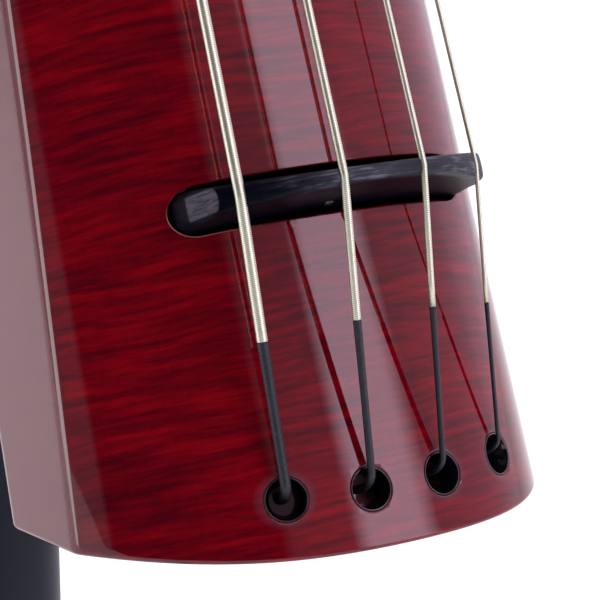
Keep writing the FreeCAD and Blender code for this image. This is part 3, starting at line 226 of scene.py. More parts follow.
def tube(name, path, radius_at, sides=20):
    """A round tube along points, with a radius given for each point's number."""
    points = []
    count = len(path)
    for k, centre in enumerate(path):
        ahead = path[min(k + 1, count - 1)] - path[max(k - 1, 0)]
        ahead.normalize()
        side = Vector((1, 0, 0))
        side = (side - ahead * side.dot(ahead)).normalized()
        points += circle(centre, side, ahead.cross(side), radius_at(k), sides)
    return outward(mesh_object(name, points, ring_faces(count, sides)))


def turned(name, profile, centre, axis, sides=48, capped=True):
    """A solid of revolution from (radius, distance along the axis) pairs."""
    axis = Vector(axis).normalized()
    side = axis.orthogonal().normalized()
    up = axis.cross(side)
    points = []
    for radius, along in profile:
        points += circle(Vector(centre) + axis * along, side, up, radius, sides)
    return outward(mesh_object(name, points, ring_faces(len(profile), sides, capped)))


# ---------------------------------------------------------------- materials

# Sockets of a colour Mix node, by number, as its value and vector sockets have the same names.
MIX_FACTOR, MIX_FIRST, MIX_SECOND, MIX_RESULT = 0, 6, 7, 2
# The pale tan is a painted highlight on the slot's rounded lip.
SIDE_RED, PAINTED_LIP_HIGHLIGHT = (0.100, 0.0004, 0.0048), (0.40, 0.20, 0.13)
# The rose is a painted reflection round the anchor holes.
SLOT_BLACK, PAINTED_HOLE_REFLECTION = (0.0012, 0.0010, 0.0022), (0.100, 0.040, 0.060)
CURL_WANDER = 0.006
BEVEL_START, BEVEL_MIDDLE, BEVEL_BOW = BRIDGE_TOP_HALF - 0.0003, 0.0005, -70.0


def new_material(name):
    material = bpy.data.materials.new(name)
    material.use_nodes = True
    tree = material.node_tree
    shader = tree.nodes["Principled BSDF"]
    return material, tree, shader


def node(tree, kind, inputs=None, **settings):
    """A shader node with its settings, and its sockets given as values or links."""
    made = tree.nodes.new("ShaderNode" + kind)
    for key, value in settings.items():
        setattr(made, key, value)
    for key, value in (inputs or {}).items():
        if isinstance(value, bpy.types.NodeSocket):
            tree.links.new(value, made.inputs[key])
        else:
            made.inputs[key].default_value = value
    return made


def ramp(tree, factor, *stops):
    """Colours against a factor, from (position, colour) pairs."""
    made = tree.nodes.new("ShaderNodeValToRGB")
    band = made.color_ramp
    while len(band.elements) < len(stops):
        band.elements.new(0.5)
    for element, (place, colour) in zip(band.elements, stops):
        element.position = place
        element.color = (*colour, 1)
    tree.links.new(factor, made.inputs["Fac"])
    return made.outputs["Color"]


def own_place(tree):
    """Coordinates that ride with the piece, turned into the instrument's frame."""
    where = node(tree, "TexCoord").outputs["Object"]
    mapped = node(tree, "Mapping", {"Vector": where, "Location": ORIGIN,
                                    "Rotation": (math.pi / 2 - LEAN, 0, 0)},
                  vector_type="TEXTURE")
    return mapped.outputs["Vector"]


def maths(tree, operation, *values):
    return node(tree, "Math", dict(enumerate(values)), operation=operation).outputs["Value"]


def vector_maths(tree, operation, *values):
    made = node(tree, "VectorMath", dict(enumerate(values)), operation=operation)
    return made.outputs["Value" if operation == "LENGTH" else "Vector"]


def stretched(tree, vector, scale, **inputs):
    """Noise with its own scale along each axis."""
    mapped = node(tree, "Mapping", {"Vector": vector, "Scale": scale})
    sockets = {"Vector": mapped.outputs["Vector"], "Scale": 1.0}
    sockets.update(inputs)
    return node(tree, "TexNoise", sockets).outputs["Fac"]


def mixed(tree, factor, first, second, blend="MIX"):
    """Two colours mixed, each a link or a tuple of red, green and blue."""
    first, second = [(*c, 1) if isinstance(c, tuple) else c for c in (first, second)]
    made = node(tree, "Mix", {MIX_FACTOR: factor, MIX_FIRST: first, MIX_SECOND: second},
                data_type="RGBA", blend_type=blend)
    return made.outputs[MIX_RESULT]


def scaled(tree, value, factor, add=0.0):
    return maths(tree, "MULTIPLY_ADD", value, factor, add)


def bump(tree, shader, height, distance, strength, socket="Normal"):
    made = node(tree, "Bump", {"Height": height, "Distance": distance, "Strength": strength})
    tree.links.new(made.outputs["Normal"], shader.inputs[socket])


def from_slot(tree, place):
    """Distance from the slot's middle line, so that its wall is at half the slot's width."""
    moved = vector_maths(tree, "ADD", place, (0, -SLOT_CENTRE, 0))
    parts = node(tree, "SeparateXYZ", {"Vector": moved})
    aside = maths(tree, "ABSOLUTE", parts.outputs["X"])
    past = maths(tree, "MAXIMUM", scaled(tree, aside, 1.0, SLOT_WIDTH / 2 - SLOT_HALF), 0.0)
    flat = node(tree, "CombineXYZ", {"X": past, "Y": parts.outputs["Y"]}).outputs["Vector"]
    return vector_maths(tree, "LENGTH", flat), parts


def from_holes(tree, place):
    """Distance in plan from the nearest anchor hole's middle."""
    reaches = []
    for index in range(4):
        hole = at_hole(index)
        moved = vector_maths(tree, "ADD", place, (-hole.x, -hole.y, 0))
        flat = vector_maths(tree, "MULTIPLY", moved, (1, 1, 0))
        reaches.append(vector_maths(tree, "LENGTH", flat))
    nearest = reaches[0]
    for reach in reaches[1:]:
        nearest = maths(tree, "MINIMUM", nearest, reach)
    return nearest


def between(tree, value, low, high):
    """0 below the first value, 1 above the second; the other way round if they fall."""
    sockets = {"Value": value, "From Min": low, "From Max": high}
    return node(tree, "MapRange", sockets).outputs["Result"]


def product(tree, *values):
    result = values[0]
    for value in values[1:]:
        result = maths(tree, "MULTIPLY", result, value)
    return result


def bent_grain(tree, place):
    """Places shifted a little along the body, so that the curl wanders."""
    warp = node(tree, "TexNoise", {"Vector": place, "Scale": 22.0, "Detail": 2.0})
    centred = vector_maths(tree, "SUBTRACT", warp.outputs["Color"], (0.5, 0.5, 0.5))
    shift = vector_maths(tree, "MULTIPLY", centred, (0.0, CURL_WANDER, 0.0))
    return vector_maths(tree, "ADD", place, shift)


def maple_figure(tree, place):
    """The stained wood: curl across the grain, fine lines and clouds, and pores along it."""
    mixture = stretched(tree, place, (62, 760, 62), Detail=4.0, Roughness=0.6)
    layers = (((260, 2300, 260), 0.26), ((22, 110, 22), 0.30), ((2600, 150, 2600), 0.12))
    for scale, share in layers:
        layer = stretched(tree, place, scale, Detail=2.0)
        mixture = maths(tree, "ADD", mixture, scaled(tree, layer, share, -share / 2))
    return ramp(tree, mixture, (0.28, (0.056, 0.0003, 0.0042)), (0.43, (0.094, 0.0003, 0.0045)),
                (0.56, (0.142, 0.0004, 0.0050)), (0.75, (0.215, 0.0010, 0.0056)))


def on_side(tree, parts):
    """1 on the flat sides of the body; 0 on its top, the neck and the head."""
    aside = maths(tree, "ABSOLUTE", parts.outputs["X"])
    outline = maths(tree, "MULTIPLY_ADD", parts.outputs["Y"], TAPER, aside)
    return product(tree, between(tree, outline, HALF_WIDTH - 0.0010, HALF_WIDTH - 0.0004),
                   between(tree, parts.outputs["Y"], BODY_END + 0.012, BODY_END + 0.002))


def on_painted_lip_highlight(tree, reach, parts):
    """1 on a line of painted highlight along the slot's rounded lip, at its lower left."""
    wall = SLOT_WIDTH / 2
    return product(tree, between(tree, reach, wall + 0.00012, wall + 0.00020),
                   between(tree, reach, wall + 0.00036, wall + 0.00028),
                   between(tree, parts.outputs["X"], -0.014, -0.022),
                   between(tree, parts.outputs["Y"], 0.0015, -0.0010))


def red_maple():
    """Flamed maple under transparent red lacquer, black in the slot, with a painted highlight on the slot's lip
    and a painted rose reflection round the holes.
    """
    material, tree, shader = new_material("red_maple")
    place = own_place(tree)
    bent = bent_grain(tree, place)
    colour = maple_figure(tree, bent)
    reach, parts = from_slot(tree, place)
    colour = mixed(tree, scaled(tree, on_side(tree, parts), 0.72), colour, SIDE_RED)
    # Painted highlight: a pale tan line along the slot's rounded lip at its lower left.
    colour = mixed(tree, on_painted_lip_highlight(tree, reach, parts), colour, PAINTED_LIP_HIGHLIGHT)
    in_slot = between(tree, reach, SLOT_WIDTH / 2 + 0.00016, SLOT_WIDTH / 2 + 0.00004)
    colour = mixed(tree, in_slot, colour, SLOT_BLACK)
    # Painted reflection: a rose halo round each anchor hole, for the lacquer's reflection at its rim.
    hole_reflection_share = between(tree, from_holes(tree, place), BUSH_RADIUS + 0.0014, BUSH_RADIUS + 0.0003)
    colour = mixed(tree, scaled(tree, hole_reflection_share, 0.32), colour, PAINTED_HOLE_REFLECTION)
    tree.links.new(colour, shader.inputs["Base Color"])
    shader.inputs["Roughness"].default_value = 0.42
    shader.inputs["Specular IOR Level"].default_value = 0.0
    shader.inputs["Coat Weight"].default_value = 1.0
    shader.inputs["Coat Roughness"].default_value = 0.025
    shader.inputs["Coat IOR"].default_value = 1.52
    ripple = stretched(tree, bent, (60, 60, 60), Detail=1.0)
    bump(tree, shader, ripple, 0.00002, 0.25, "Coat Normal")
    return material


def crest_wear_and_light(tree, place):
    """Where the bridge's crest is pale, worn and with painted light on its lit top, and where its bevelled ends
    are.
    """
    parts = node(tree, "SeparateXYZ", {"Vector": place})
    raised = vector_maths(tree, "ADD", place, (0, 0, BRIDGE_ARC - BRIDGE_CROWN))
    flat = vector_maths(tree, "MULTIPLY", raised, (1, 0, 1))
    reach = vector_maths(tree, "LENGTH", flat)
    crest = product(tree, between(tree, reach, BRIDGE_ARC - 0.0024, BRIDGE_ARC - 0.0002),
                    between(tree, parts.outputs["X"], -0.021, -0.005))
    off = scaled(tree, parts.outputs["Y"], 1.0, -BEVEL_MIDDLE)
    off = product(tree, off, off)
    aside = maths(tree, "ABSOLUTE", parts.outputs["X"])
    rounded = scaled(tree, off, BEVEL_BOW, aside)
    bevel = product(tree, between(tree, rounded, BEVEL_START, BEVEL_START + 0.0002),
                    between(tree, parts.outputs["Z"], BRIDGE_SHOULDER, BRIDGE_SHOULDER + 0.0004),
                    between(tree, off, 0.0000046, 0.0000036))
    return crest, bevel


def ebony():
    """Oiled black wood: pale and streaky on the crest, worn and with painted light on its lit top; open-grained on
    the bevels.
    """
    material, tree, shader = new_material("ebony")
    place = own_place(tree)
    streak = stretched(tree, place, (200, 2600, 260), Detail=4.0, Roughness=0.6)
    cloud = stretched(tree, place, (150, 320, 320), Detail=3.0)
    mixture = maths(tree, "ADD", streak, scaled(tree, cloud, 0.9, -0.45))
    dark = ramp(tree, mixture, (0.30, (0.0012, 0.0012, 0.0034)), (0.75, (0.0040, 0.0040, 0.0090)))
    # Pale crest: worn ebony with painted light where the bridge's top is lit.
    worn_and_lit = ramp(tree, mixture, (0.34, (0.0060, 0.0064, 0.0130)), (0.56, (0.0190, 0.0200, 0.0330)),
                (0.70, (0.0900, 0.0920, 0.1300)))
    grain = ramp(tree, streak, (0.38, (0.0300, 0.0260, 0.0360)), (0.55, (0.0800, 0.0700, 0.0900)))
    crest, bevel = crest_wear_and_light(tree, place)
    colour = mixed(tree, bevel, mixed(tree, crest, dark, worn_and_lit), grain)
    tree.links.new(colour, shader.inputs["Base Color"])
    tree.links.new(scaled(tree, crest, 0.16, 0.34), shader.inputs["Roughness"])
    tree.links.new(scaled(tree, crest, 0.20, 0.04), shader.inputs["Specular IOR Level"])
    bump(tree, shader, streak, 0.00006, 0.35)
    return material


def board_ebony():
    """The fingerboard's ebony: its grain runs along the neck."""
    material, tree, shader = new_material("board_ebony")
    place = own_place(tree)
    streak = stretched(tree, place, (700, 14, 700), Detail=4.0, Roughness=0.6)
    colour = ramp(tree, streak, (0.36, (0.004, 0.0038, 0.0045)), (0.66, (0.015, 0.014, 0.015)),
                  (0.85, (0.035, 0.030, 0.028)))
    tree.links.new(colour, shader.inputs["Base Color"])
    tree.links.new(scaled(tree, streak, 0.2, 0.28), shader.inputs["Roughness"])
    bump(tree, shader, streak, 0.00008, 0.25)
    return material


def metal(name, colour, roughness, scale=900.0, brushed=(1, 1, 1)):
    """A metal whose polish varies: fine scratches in one direction."""
    material, tree, shader = new_material(name)
    place = own_place(tree)
    marks = stretched(tree, place, tuple(scale * b for b in brushed), Detail=3.0)
    shade = ramp(tree, marks, (0.3, tuple(0.86 * c for c in colour)), (0.7, colour))
    tree.links.new(shade, shader.inputs["Base Color"])
    shader.inputs["Metallic"].default_value = 1.0
    tree.links.new(scaled(tree, marks, 0.12, roughness - 0.06), shader.inputs["Roughness"])
    bump(tree, shader, marks, 0.00002, 0.3)
    return material


def coated(name, colour, roughness, grain, depth, coat=0.0, specular=0.3):
    """Paint or moulded plastic with a fine grain and slightly uneven polish."""
    material, tree, shader = new_material(name)
    place = own_place(tree)
    pebble = stretched(tree, place, (grain,) * 3, Detail=3.0)
    cloud = stretched(tree, place, (40,) * 3, Detail=2.0)
    shade = ramp(tree, cloud, (0.3, tuple(0.8 * c for c in colour)),
                 (0.7, tuple(1.15 * c for c in colour)))
    tree.links.new(shade, shader.inputs["Base Color"])
    tree.links.new(scaled(tree, cloud, 0.16, roughness - 0.08), shader.inputs["Roughness"])
    shader.inputs["Specular IOR Level"].default_value = specular
    shader.inputs["Coat Weight"].default_value = coat
    shader.inputs["Coat Roughness"].default_value = 0.04
    bump(tree, shader, pebble, depth, 0.5)
    return material


def winding(name, colour, metallic, roughness, pitch, depth, groove_shade):
    """A thread or ribbon wound round a string: bands across its length, with painted shade in the grooves between
    turns.
    """
    material, tree, shader = new_material(name)
    place = own_place(tree)
    bands = node(tree, "TexWave", {"Vector": place, "Scale": 0.314 / pitch, "Distortion": 0.6,
                                   "Detail": 1.0, "Detail Scale": 3.0},
                 wave_type="BANDS", bands_direction="Y", wave_profile="SIN").outputs["Fac"]
    soil = stretched(tree, place, (300, 300, 300), Detail=2.0)
    # Painted shade: the colour darkens in the grooves between the turns.
    shade = ramp(tree, bands, (0.1, tuple(groove_shade * c for c in colour)), (0.6, colour))
    shade = mixed(tree, scaled(tree, soil, 0.3), shade, tuple(0.7 * c for c in colour))
    tree.links.new(shade, shader.inputs["Base Color"])
    shader.inputs["Metallic"].default_value = metallic
    tree.links.new(scaled(tree, soil, 0.15, roughness - 0.07), shader.inputs["Roughness"])
    bump(tree, shader, bands, depth, 0.6)
    return material


MATERIALS = {
    "red_maple": red_maple(),
    "ebony": ebony(),
    "board_ebony": board_ebony(),
    "wound_steel": winding("wound_steel", (0.84, 0.86, 0.67), 1.0, 0.42, WINDING_PITCH,
                           0.00002, 0.6),
    "silk": winding("silk", (0.007, 0.009, 0.019), 0.0, 0.5, THREAD_PITCH, THREAD, 0.5),
    "black_lacquer": coated("black_lacquer", (0.003, 0.002, 0.004), 0.12, 650, 0.00012, 1.0),
    "chrome": metal("chrome", (0.80, 0.80, 0.82), 0.14),
    "black_chrome": metal("black_chrome", (0.09, 0.09, 0.098), 0.2),
    "black_plastic": coated("black_plastic", (0.014, 0.014, 0.016), 0.42, 2600, 0.00004),
    "black_metal": coated("black_metal", (0.013, 0.016, 0.026), 0.36, 3200, 0.00003,
                          specular=0.12),
    "rubber": coated("rubber", (0.016, 0.016, 0.016), 0.72, 1500, 0.00006),
    "steel": metal("steel", (0.56, 0.56, 0.57), 0.3, 700.0, (1, 8, 1)),
    "brass": metal("brass", (0.72, 0.52, 0.22), 0.3),
    "circuit_green": coated("circuit_green", (0.01, 0.12, 0.04), 0.35, 900, 0.00003),
}


def dress(piece, name):
    piece.data.materials.clear()
    piece.data.materials.append(MATERIALS[name])


def dress_cad():
    """Every node that stays from the CAD takes its record slot's material."""
    slots = {s["node"]: s["material_slot"] for s in frame["record"]["subparts"]}
    for name, item in nodes.items():
        dress(item, "board_ebony" if name == "fingerboard" else slots[name])
        soften(item, 30)


# ---------------------------------------------------------------- the body

def section_points(half, lift):
    """One closed cross-section, from the left back corner over the arch to the right one."""
    columns, steps = 72, 8
    slope = math.atan(-arch_slope(half))
    opening = math.pi / 2 - slope
    tangent = SIDE_EDGE * math.tan(opening / 2)
    shoulder = arch(half) - tangent
    inner = half - tangent * math.cos(slope)
    top = []
    for i in range(columns + 1):
        x = inner * math.sin(math.pi / 2 * (2 * i / columns - 1))
        top.append((x, arch(x)))
    right = []
    for i in range(1, steps + 1):
        turn = opening * (1 - i / steps)
        right.append((half - SIDE_EDGE + SIDE_EDGE * math.cos(turn),
                      shoulder + SIDE_EDGE * math.sin(turn)))
    back = -DEPTH + lift
    for i in range(steps + 1):
        turn = -math.pi / 2 * i / steps
        right.append((half - BACK_EDGE + BACK_EDGE * math.cos(turn),
                      back + BACK_EDGE + BACK_EDGE * math.sin(turn)))
    left = [(-x, z) for x, z in reversed(right)]
    return left + top + right


def inset(points, distance):
    """The section shrunk by a distance, for the rounded rim of an end."""
    count = len(points)
    moved = []
    for i, (x, z) in enumerate(points):
        x0, z0 = points[i - 1]
        x1, z1 = points[(i + 1) % count]
        length = math.hypot(x1 - x0, z1 - z0) or 1
        moved.append((x + (z1 - z0) / length * distance, z - (x1 - x0) / length * distance))
    return moved


def body_rings():
    """(y at the crown, end rim inset, share of the tail's shear) for each ring."""
    steps, tail_rows, head_rows = 6, 60, 70
    start, end = EDGE - TAIL, BODY_END - EDGE
    rings = [(-TAIL + EDGE * along, EDGE * across, 1.0) for along, across in quarter(steps)]
    for i in range(1, tail_rows + 1):
        rings.append((start + (SHEAR_END - start) * i / tail_rows, 0.0, 1 - i / tail_rows))
    for i in range(1, head_rows + 1):
        rings.append((SHEAR_END + (end - SHEAR_END) * i / head_rows, 0.0, 0.0))
    for along, across in quarter(steps)[-2::-1]:
        rings.append((BODY_END - EDGE * along, EDGE * across, 0.0))
    return rings


def body_blank():
    """The body without its openings: its tail is undercut and its back rises at the heel."""
    points, rings = [], body_rings()
    for y, rim, shear in rings:
        lift = HEEL_RISE * max(0.0, (y - HEEL_START) / (BODY_END - HEEL_START))
        outline = inset(section_points(half_width(y), lift), rim)
        points += [(x, y + shear * TAIL_SLOPE * -z, z) for x, z in outline]
    return outward(mesh_object("body_wood", points, ring_faces(len(rings), len(outline))))


def slot_outline():
    """(x, y, outward normal) round the slot's plan: two half circles joined by straight runs."""
    radius, reach = SLOT_WIDTH / 2, SLOT_HALF - SLOT_WIDTH / 2
    bend_steps, run_steps = 24, 40
    outline = []
    for side in (1, -1):
        for i in range(bend_steps + 1):
            turn = math.pi * i / bend_steps - math.pi / 2
            normal = (side * math.cos(turn), side * math.sin(turn))
            outline.append((side * reach + radius * normal[0], radius * normal[1], normal))
        for i in range(1, run_steps):
            outline.append((side * reach * (1 - 2 * i / run_steps), side * radius, (0, side)))
    return outline


def slot_cutter():
    """Straight walls, then a rounded lip that follows the arch, closed by flat ends."""
    outline, steps = slot_outline(), 6
    points = []

    def ring(out, level_at):
        for x, y, (nx, ny) in outline:
            px = x + nx * out
            points.append((px, SLOT_CENTRE + y + ny * out, level_at(px)))

    ring(0, lambda x: -SLOT_DEPTH)
    for out, sunk in quarter(steps):
        ring(SLOT_LIP * out, lambda x, below=SLOT_LIP * sunk: arch(x) - below)
    ring(SLOT_LIP * 1.35, lambda x: CUTTER_ROOF)
    return mesh_object("slot_cutter", points, ring_faces(steps + 3, len(outline)))


def hole_cutter(index):
    """An anchor hole with a rounded mouth, square to the arched top."""
    profile = [(BUSH_RADIUS, BUSH_LENGTH)]
    profile += [(BUSH_RADIUS + HOLE_LIP * out, HOLE_LIP * sunk) for out, sunk in quarter(5)]
    profile.append((BUSH_RADIUS + HOLE_LIP * 1.6, -CUTTER_ROOF))
    return turned("hole_cutter", profile, at_hole(index), mouth_axis(index))


def block(name, low, high):
    """A cutter block between two corners of the instrument's frame."""
    points = [(x, y, z) for z in (low[2], high[2]) for y in (low[1], high[1])
              for x in (low[0], high[0])]
    faces = [(0, 2, 3, 1), (4, 5, 7, 6), (0, 1, 5, 4), (2, 6, 7, 3), (0, 4, 6, 2), (1, 3, 7, 5)]
    return mesh_object(name, points, faces, smooth=False)


def bore_cutter(radius, length, start, axis):
    """A round cutter; those of the controls run 10 mm out of the side."""
    return turned("bore_cutter", [(radius, 0), (radius, length)], start, axis)


def body_wood():
    """The maple body with its slot, holes, fingerboard land, cover recess and control bores."""
    body = body_blank()
    cutters = [slot_cutter()] + [hole_cutter(i) for i in range(4)]
    cutters += [block("land", *FINGERBOARD_LAND), block("recess", *COVER_RECESS)]
    for y in NECK_BOLTS:
        start = (0, y, NECK_BOLT_START)
        cutters.append(bore_cutter(NECK_BOLT_BORE, NECK_BOLT_DEPTH, start, (0, 0, 1)))
    for y, radius in CONTROL_BORES:
        start = (half_width(y) - CONTROL_BORE_DEPTH, y, CONTROL_LEVEL)
        cutters.append(bore_cutter(radius, CONTROL_BORE_DEPTH + 0.01, start, (1, 0, 0)))
    carve(body, cutters)
    soften(body, 38)
    weigh_normals(body)
    dress(body, "red_maple")
    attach(body, "instrument")
    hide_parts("body")


# ---------------------------------------------------------------- strings, silk and collars

def points_between(start, end, count):
    """Evenly spaced points from one place to another, both ends included."""
    return [start.lerp(end, i / count) for i in range(count + 1)]


def ribbed_path(start, end):
    """Points two to a turn of the winding between two places."""
    return points_between(start, end, max(2, round((end - start).length / WINDING_PITCH * 2)))


def wound_string(index):
    """The metal string: the thicker two are ribbed where they are near the bridge."""
    letter = STRINGS[index]
    radius = STRING_RADII[letter]
    bridge, silk, nut = at_bridge(index), at_silk(index), at_nut(index)
    near = bridge.lerp(nut, RIBBED_SHARE)
    if letter in RIBBED:
        path = ribbed_path(silk, bridge) + ribbed_path(bridge, near)[1:]
        rib = radius * RIB_SHARE
    else:
        path = points_between(silk, bridge, 6) + points_between(bridge, near, 12)[1:]
        rib = 0.0
    smooth_from = len(path)
    path += points_between(near, nut, 24)[1:]

    def radius_at(k):
        return radius - (rib if k < smooth_from and k % 2 else 0)

    piece = tube(f"wound_string_{letter}", path, radius_at, 14)
    dress(piece, "wound_steel")
    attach(piece, "instrument")
    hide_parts(f"string_{letter}")


def curve_through(points, count):
    """A smooth path: a quadratic B-spline with its ends on the first and last point."""
    path = []
    inner = [points[0]] + [a.lerp(b, 0.5) for a, b in zip(points[1:], points[2:-1])] + [points[-1]]
    for k, middle in enumerate(points[1:-1]):
        a, b = inner[k], inner[k + 1]
        for i in range(count):
            t = i / count
            path.append(a * (1 - t) ** 2 + middle * (2 * t * (1 - t)) + b * t ** 2)
    path.append(points[-1])
    return path


def resampled(path, step):
    """The same path with points a fixed step apart."""
    out, left = [path[0]], step
    for a, b in zip(path, path[1:]):
        run = (b - a).length
        at = left
        while at < run:
            out.append(a.lerp(b, at / run))
            at += step
        left = at - run
    return out


def silk_wrap(index):
    """The thread wrap from the end of the metal into the anchor hole, slimmer in the middle."""
    letter = STRINGS[index]
    radius = STRING_RADII[letter] + THREAD
    start, hole = at_silk(index), at_hole(index)
    entry = hole + Vector(SILK_BEND)
    foot = hole + mouth_axis(index) * BUSH_LENGTH
    below = foot + anchor_axis() * SILK_BELOW
    path = curve_through([start, start.lerp(entry, SILK_APPROACH), entry, foot, below], 40)
    path = resampled(path, THREAD_PITCH / 2)
    last = len(path) - 1

    def radius_at(k):
        share = min(1.0, k / (SILK_WAIST_END * last))
        slimmed = radius * (1 - SILK_WAIST * math.sin(math.pi * share))
        return slimmed - (THREAD if k % 2 else 0)

    return tube(f"silk_{letter}", path, radius_at, 16)


def joined(name, pieces):
    """Several meshes as one piece."""
    work = bmesh.new()
    for piece in pieces:
        work.from_mesh(piece.data)
        bpy.data.objects.remove(piece)
    mesh = bpy.data.meshes.new(name)
    work.to_mesh(mesh)
    work.free()
    for face in mesh.polygons:
        face.use_smooth = True
    made = bpy.data.objects.new(name, mesh)
    bpy.context.scene.collection.objects.link(made)
    return made


def silk_wraps():
    piece = joined("silk_wraps", [silk_wrap(i) for i in range(4)])
    dress(piece, "silk")
    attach(piece, "instrument")
    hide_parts("tail_silk_wraps")


def collar(index):
    """A glossy funnel-mouthed collar, set flush in the wood."""
    rim, throat = BUSH_RADIUS - COLLAR_GAP, BUSH_BORE
    inner = rim - 2 * COLLAR_LIP
    steps = 8
    profile = [(rim, BUSH_LENGTH), (rim, COLLAR_SUNK)]
    for i in range(steps + 1):
        turn = math.pi * i / steps
        profile.append((rim - COLLAR_LIP + COLLAR_LIP * math.cos(turn),
                        COLLAR_SUNK - COLLAR_LIP * math.sin(turn)))
    for i in range(1, steps + 1):
        share = i / steps
        profile.append((inner - (inner - throat) * share ** FUNNEL_CURVE,
                        COLLAR_SUNK + FUNNEL_DEPTH * share))
    profile += [(throat, BUSH_LENGTH), (rim, BUSH_LENGTH)]
    return turned(f"collar_{index}", profile, at_hole(index), mouth_axis(index), 56, False)


def collars():
    piece = joined("anchor_collars", [collar(i) for i in range(4)])
    outward(piece)
    soften(piece, 50)
    dress(piece, "black_lacquer")
    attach(piece, "instrument")
    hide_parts("string_bushes")


# ---------------------------------------------------------------- bridge

def bridge_top(x):
    """The arched top, then the bevel at either end."""
    arc = on_arc(min(abs(x), BRIDGE_TOP_HALF), BRIDGE_CROWN, BRIDGE_ARC)
    beyond = max(0.0, abs(x) - BRIDGE_TOP_HALF) / (BRIDGE_HALF - BRIDGE_TOP_HALF)
    return arc + (BRIDGE_SHOULDER - arc) * beyond


def bridge_face(side, level):
    """Where a face of the bridge is at a level: side -1 faces the tail and side 1 the head."""
    foot = SLOT_CENTRE + side * BRIDGE_THICK / 2
    crest = BRIDGE_THIN_CENTRE + side * BRIDGE_THIN / 2
    rise = (level - BRIDGE_LEAN_START) / (BRIDGE_CROWN - BRIDGE_LEAN_START)
    return foot + (crest - foot) * min(1.0, max(0.0, rise))


def bridge_section(x):
    """One cross-section, from the foot's tail side over the top to its head side."""
    radius = SLOT_WIDTH / 2 - BRIDGE_GAP
    past = max(0.0, abs(x) - (SLOT_HALF - SLOT_WIDTH / 2))
    room = min(BRIDGE_THICK / 2, math.sqrt(max(0.0, radius ** 2 - past ** 2)))
    low, high = SLOT_CENTRE - room, SLOT_CENTRE + room
    top = bridge_top(x)
    near = max(low, bridge_face(-1, top))
    far = min(high, bridge_face(1, top))
    soft = min(CREST_ROUND, (far - near) * CREST_ROUND_SHARE)
    lean = top - soft - BRIDGE_LEAN_START
    levels = [BRIDGE_FOOT] + [BRIDGE_LEAN_START + lean * i / 6 for i in range(7)]
    left = [(max(low, bridge_face(-1, z)), z) for z in levels]
    right = [(min(high, bridge_face(1, z)), z) for z in levels]
    crest = [(near + soft * across, top - soft * below) for across, below in quarter(6)[1:-1]]
    other = [(far + near - y, z) for y, z in reversed(crest)]
    flat = far - near - 2 * soft
    swell = [(near + soft + flat * i / 4, top + CREST_SWELL * math.sin(math.pi * i / 4))
             for i in range(5)]
    return left + crest + swell + other + right[::-1]


def bridge():
    """The ebony bridge: a crowned bar with bevelled ends and a groove under each string."""
    columns, steps = 72, 4
    bevel = [BRIDGE_TOP_HALF + (BRIDGE_HALF - BRIDGE_TOP_HALF) * i / steps
             for i in range(steps + 1)]
    middle = [BRIDGE_TOP_HALF * (2 * i / columns - 1) for i in range(1, columns)]
    stations = [-x for x in reversed(bevel)] + middle + bevel
    points = []
    for x in stations:
        outline = bridge_section(x)
        points += [(x, y, z) for y, z in outline]
    bar = outward(mesh_object("bridge_bar", points, ring_faces(len(stations), len(outline))))
    grooves = []
    for index, radius in enumerate(STRING_RADII.values()):
        crest = at_bridge(index)
        path = [crest.lerp(at_silk(index), 0.28), crest, crest.lerp(at_nut(index), 0.01)]
        grooves.append(tube("groove", path, lambda k, wide=radius * GROOVE_ROOM: wide))
    carve(bar, grooves)
    soften(bar, 42)
    dress(bar, "ebony")
    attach(bar, "instrument")
    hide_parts("bridge")


def pickup_tab():
    """The pickup's metal tab, which shows on the bridge's tail face just above the slot."""
    soft, behind = 0.0003, 0.0002
    points = []
    for level, share, proud in ((TAB_LOW, 0.8, 0.00009), (TAB_LOW + soft, 1, 0.0003),
                                (TAB_HIGH - soft, 1, 0.0003), (TAB_HIGH, 0.8, 0.00009)):
        face, wide = bridge_face(-1, level), TAB_HALF * share
        outline = ((-wide, 0), (-0.8 * wide, -proud), (0.8 * wide, -proud), (wide, 0),
                   (wide, behind), (-wide, behind))
        points += [(TAB_ACROSS + x, face + y, level) for x, y in outline]
    tab = outward(mesh_object("pickup_tab", points, ring_faces(4, 6)))
    soften(tab, 40)
    dress(tab, "black_chrome")
    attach(tab, "instrument")


# ---------------------------------------------------------------- camera, light and stage

# The view: a point of the instrument, and the way and distance from it to the camera.
VIEW_TARGET = (-0.00571, -0.01621, -0.01163)
VIEW_WAY, VIEW_DISTANCE = (-0.5076, -0.8200, 0.2644), 0.398
LENS, SENSOR = 138.8, 36.0

# Diffuse lamps: name, what it faces, the way and distance to it, width, height and watts.
LAMPS = (("front_lamp", ORIGIN, (0.15, -1.0, 0.75), 2.2, 1.6, 1.6, 8.2),
         ("top_lamp", ORIGIN, (-0.3, 0.3, 1.0), 2.6, 2.0, 2.0, 12),
         ("floor_lamp", (0, 1.6, 0), (0.0, -0.1, 1.0), 4.0, 5.0, 5.0, 62),
         ("wall_lamp", (0, 5.4, 1.4), (0.0, -0.9, 0.5), 4.4, 6.0, 3.0, 70))
STRIP_PLACE, STRIP_WIDTH, STRIP_HEIGHT, STRIP_POWER = Vector((-3.0, 1.1, 0.45)), 0.9, 2.2, 23

# What the studio shows around the instrument: degrees from the front, to the right, and radiance.
STUDIO_BANDS = ((-178, 1.3), (-150, 1.5), (-130, 1.5), (-106, 0.5), (-104, 0.3), (-97.6, 0.28),
                (-97.0, 0.02), (-25, 0.02), (-18, 0.30), (12, 0.38), (19, 3.7), (36, 3.7), (42, 0.6),
                (58, 0.7), (74, 0.85), (86, 1.1), (130, 1.0), (170, 1.1))
STUDIO_PEAK = 4.0
STUDIO_CEILING, GLOSS_TINT = (0.25, 0.25, 0.25), (1.05, 0.89, 1.09)


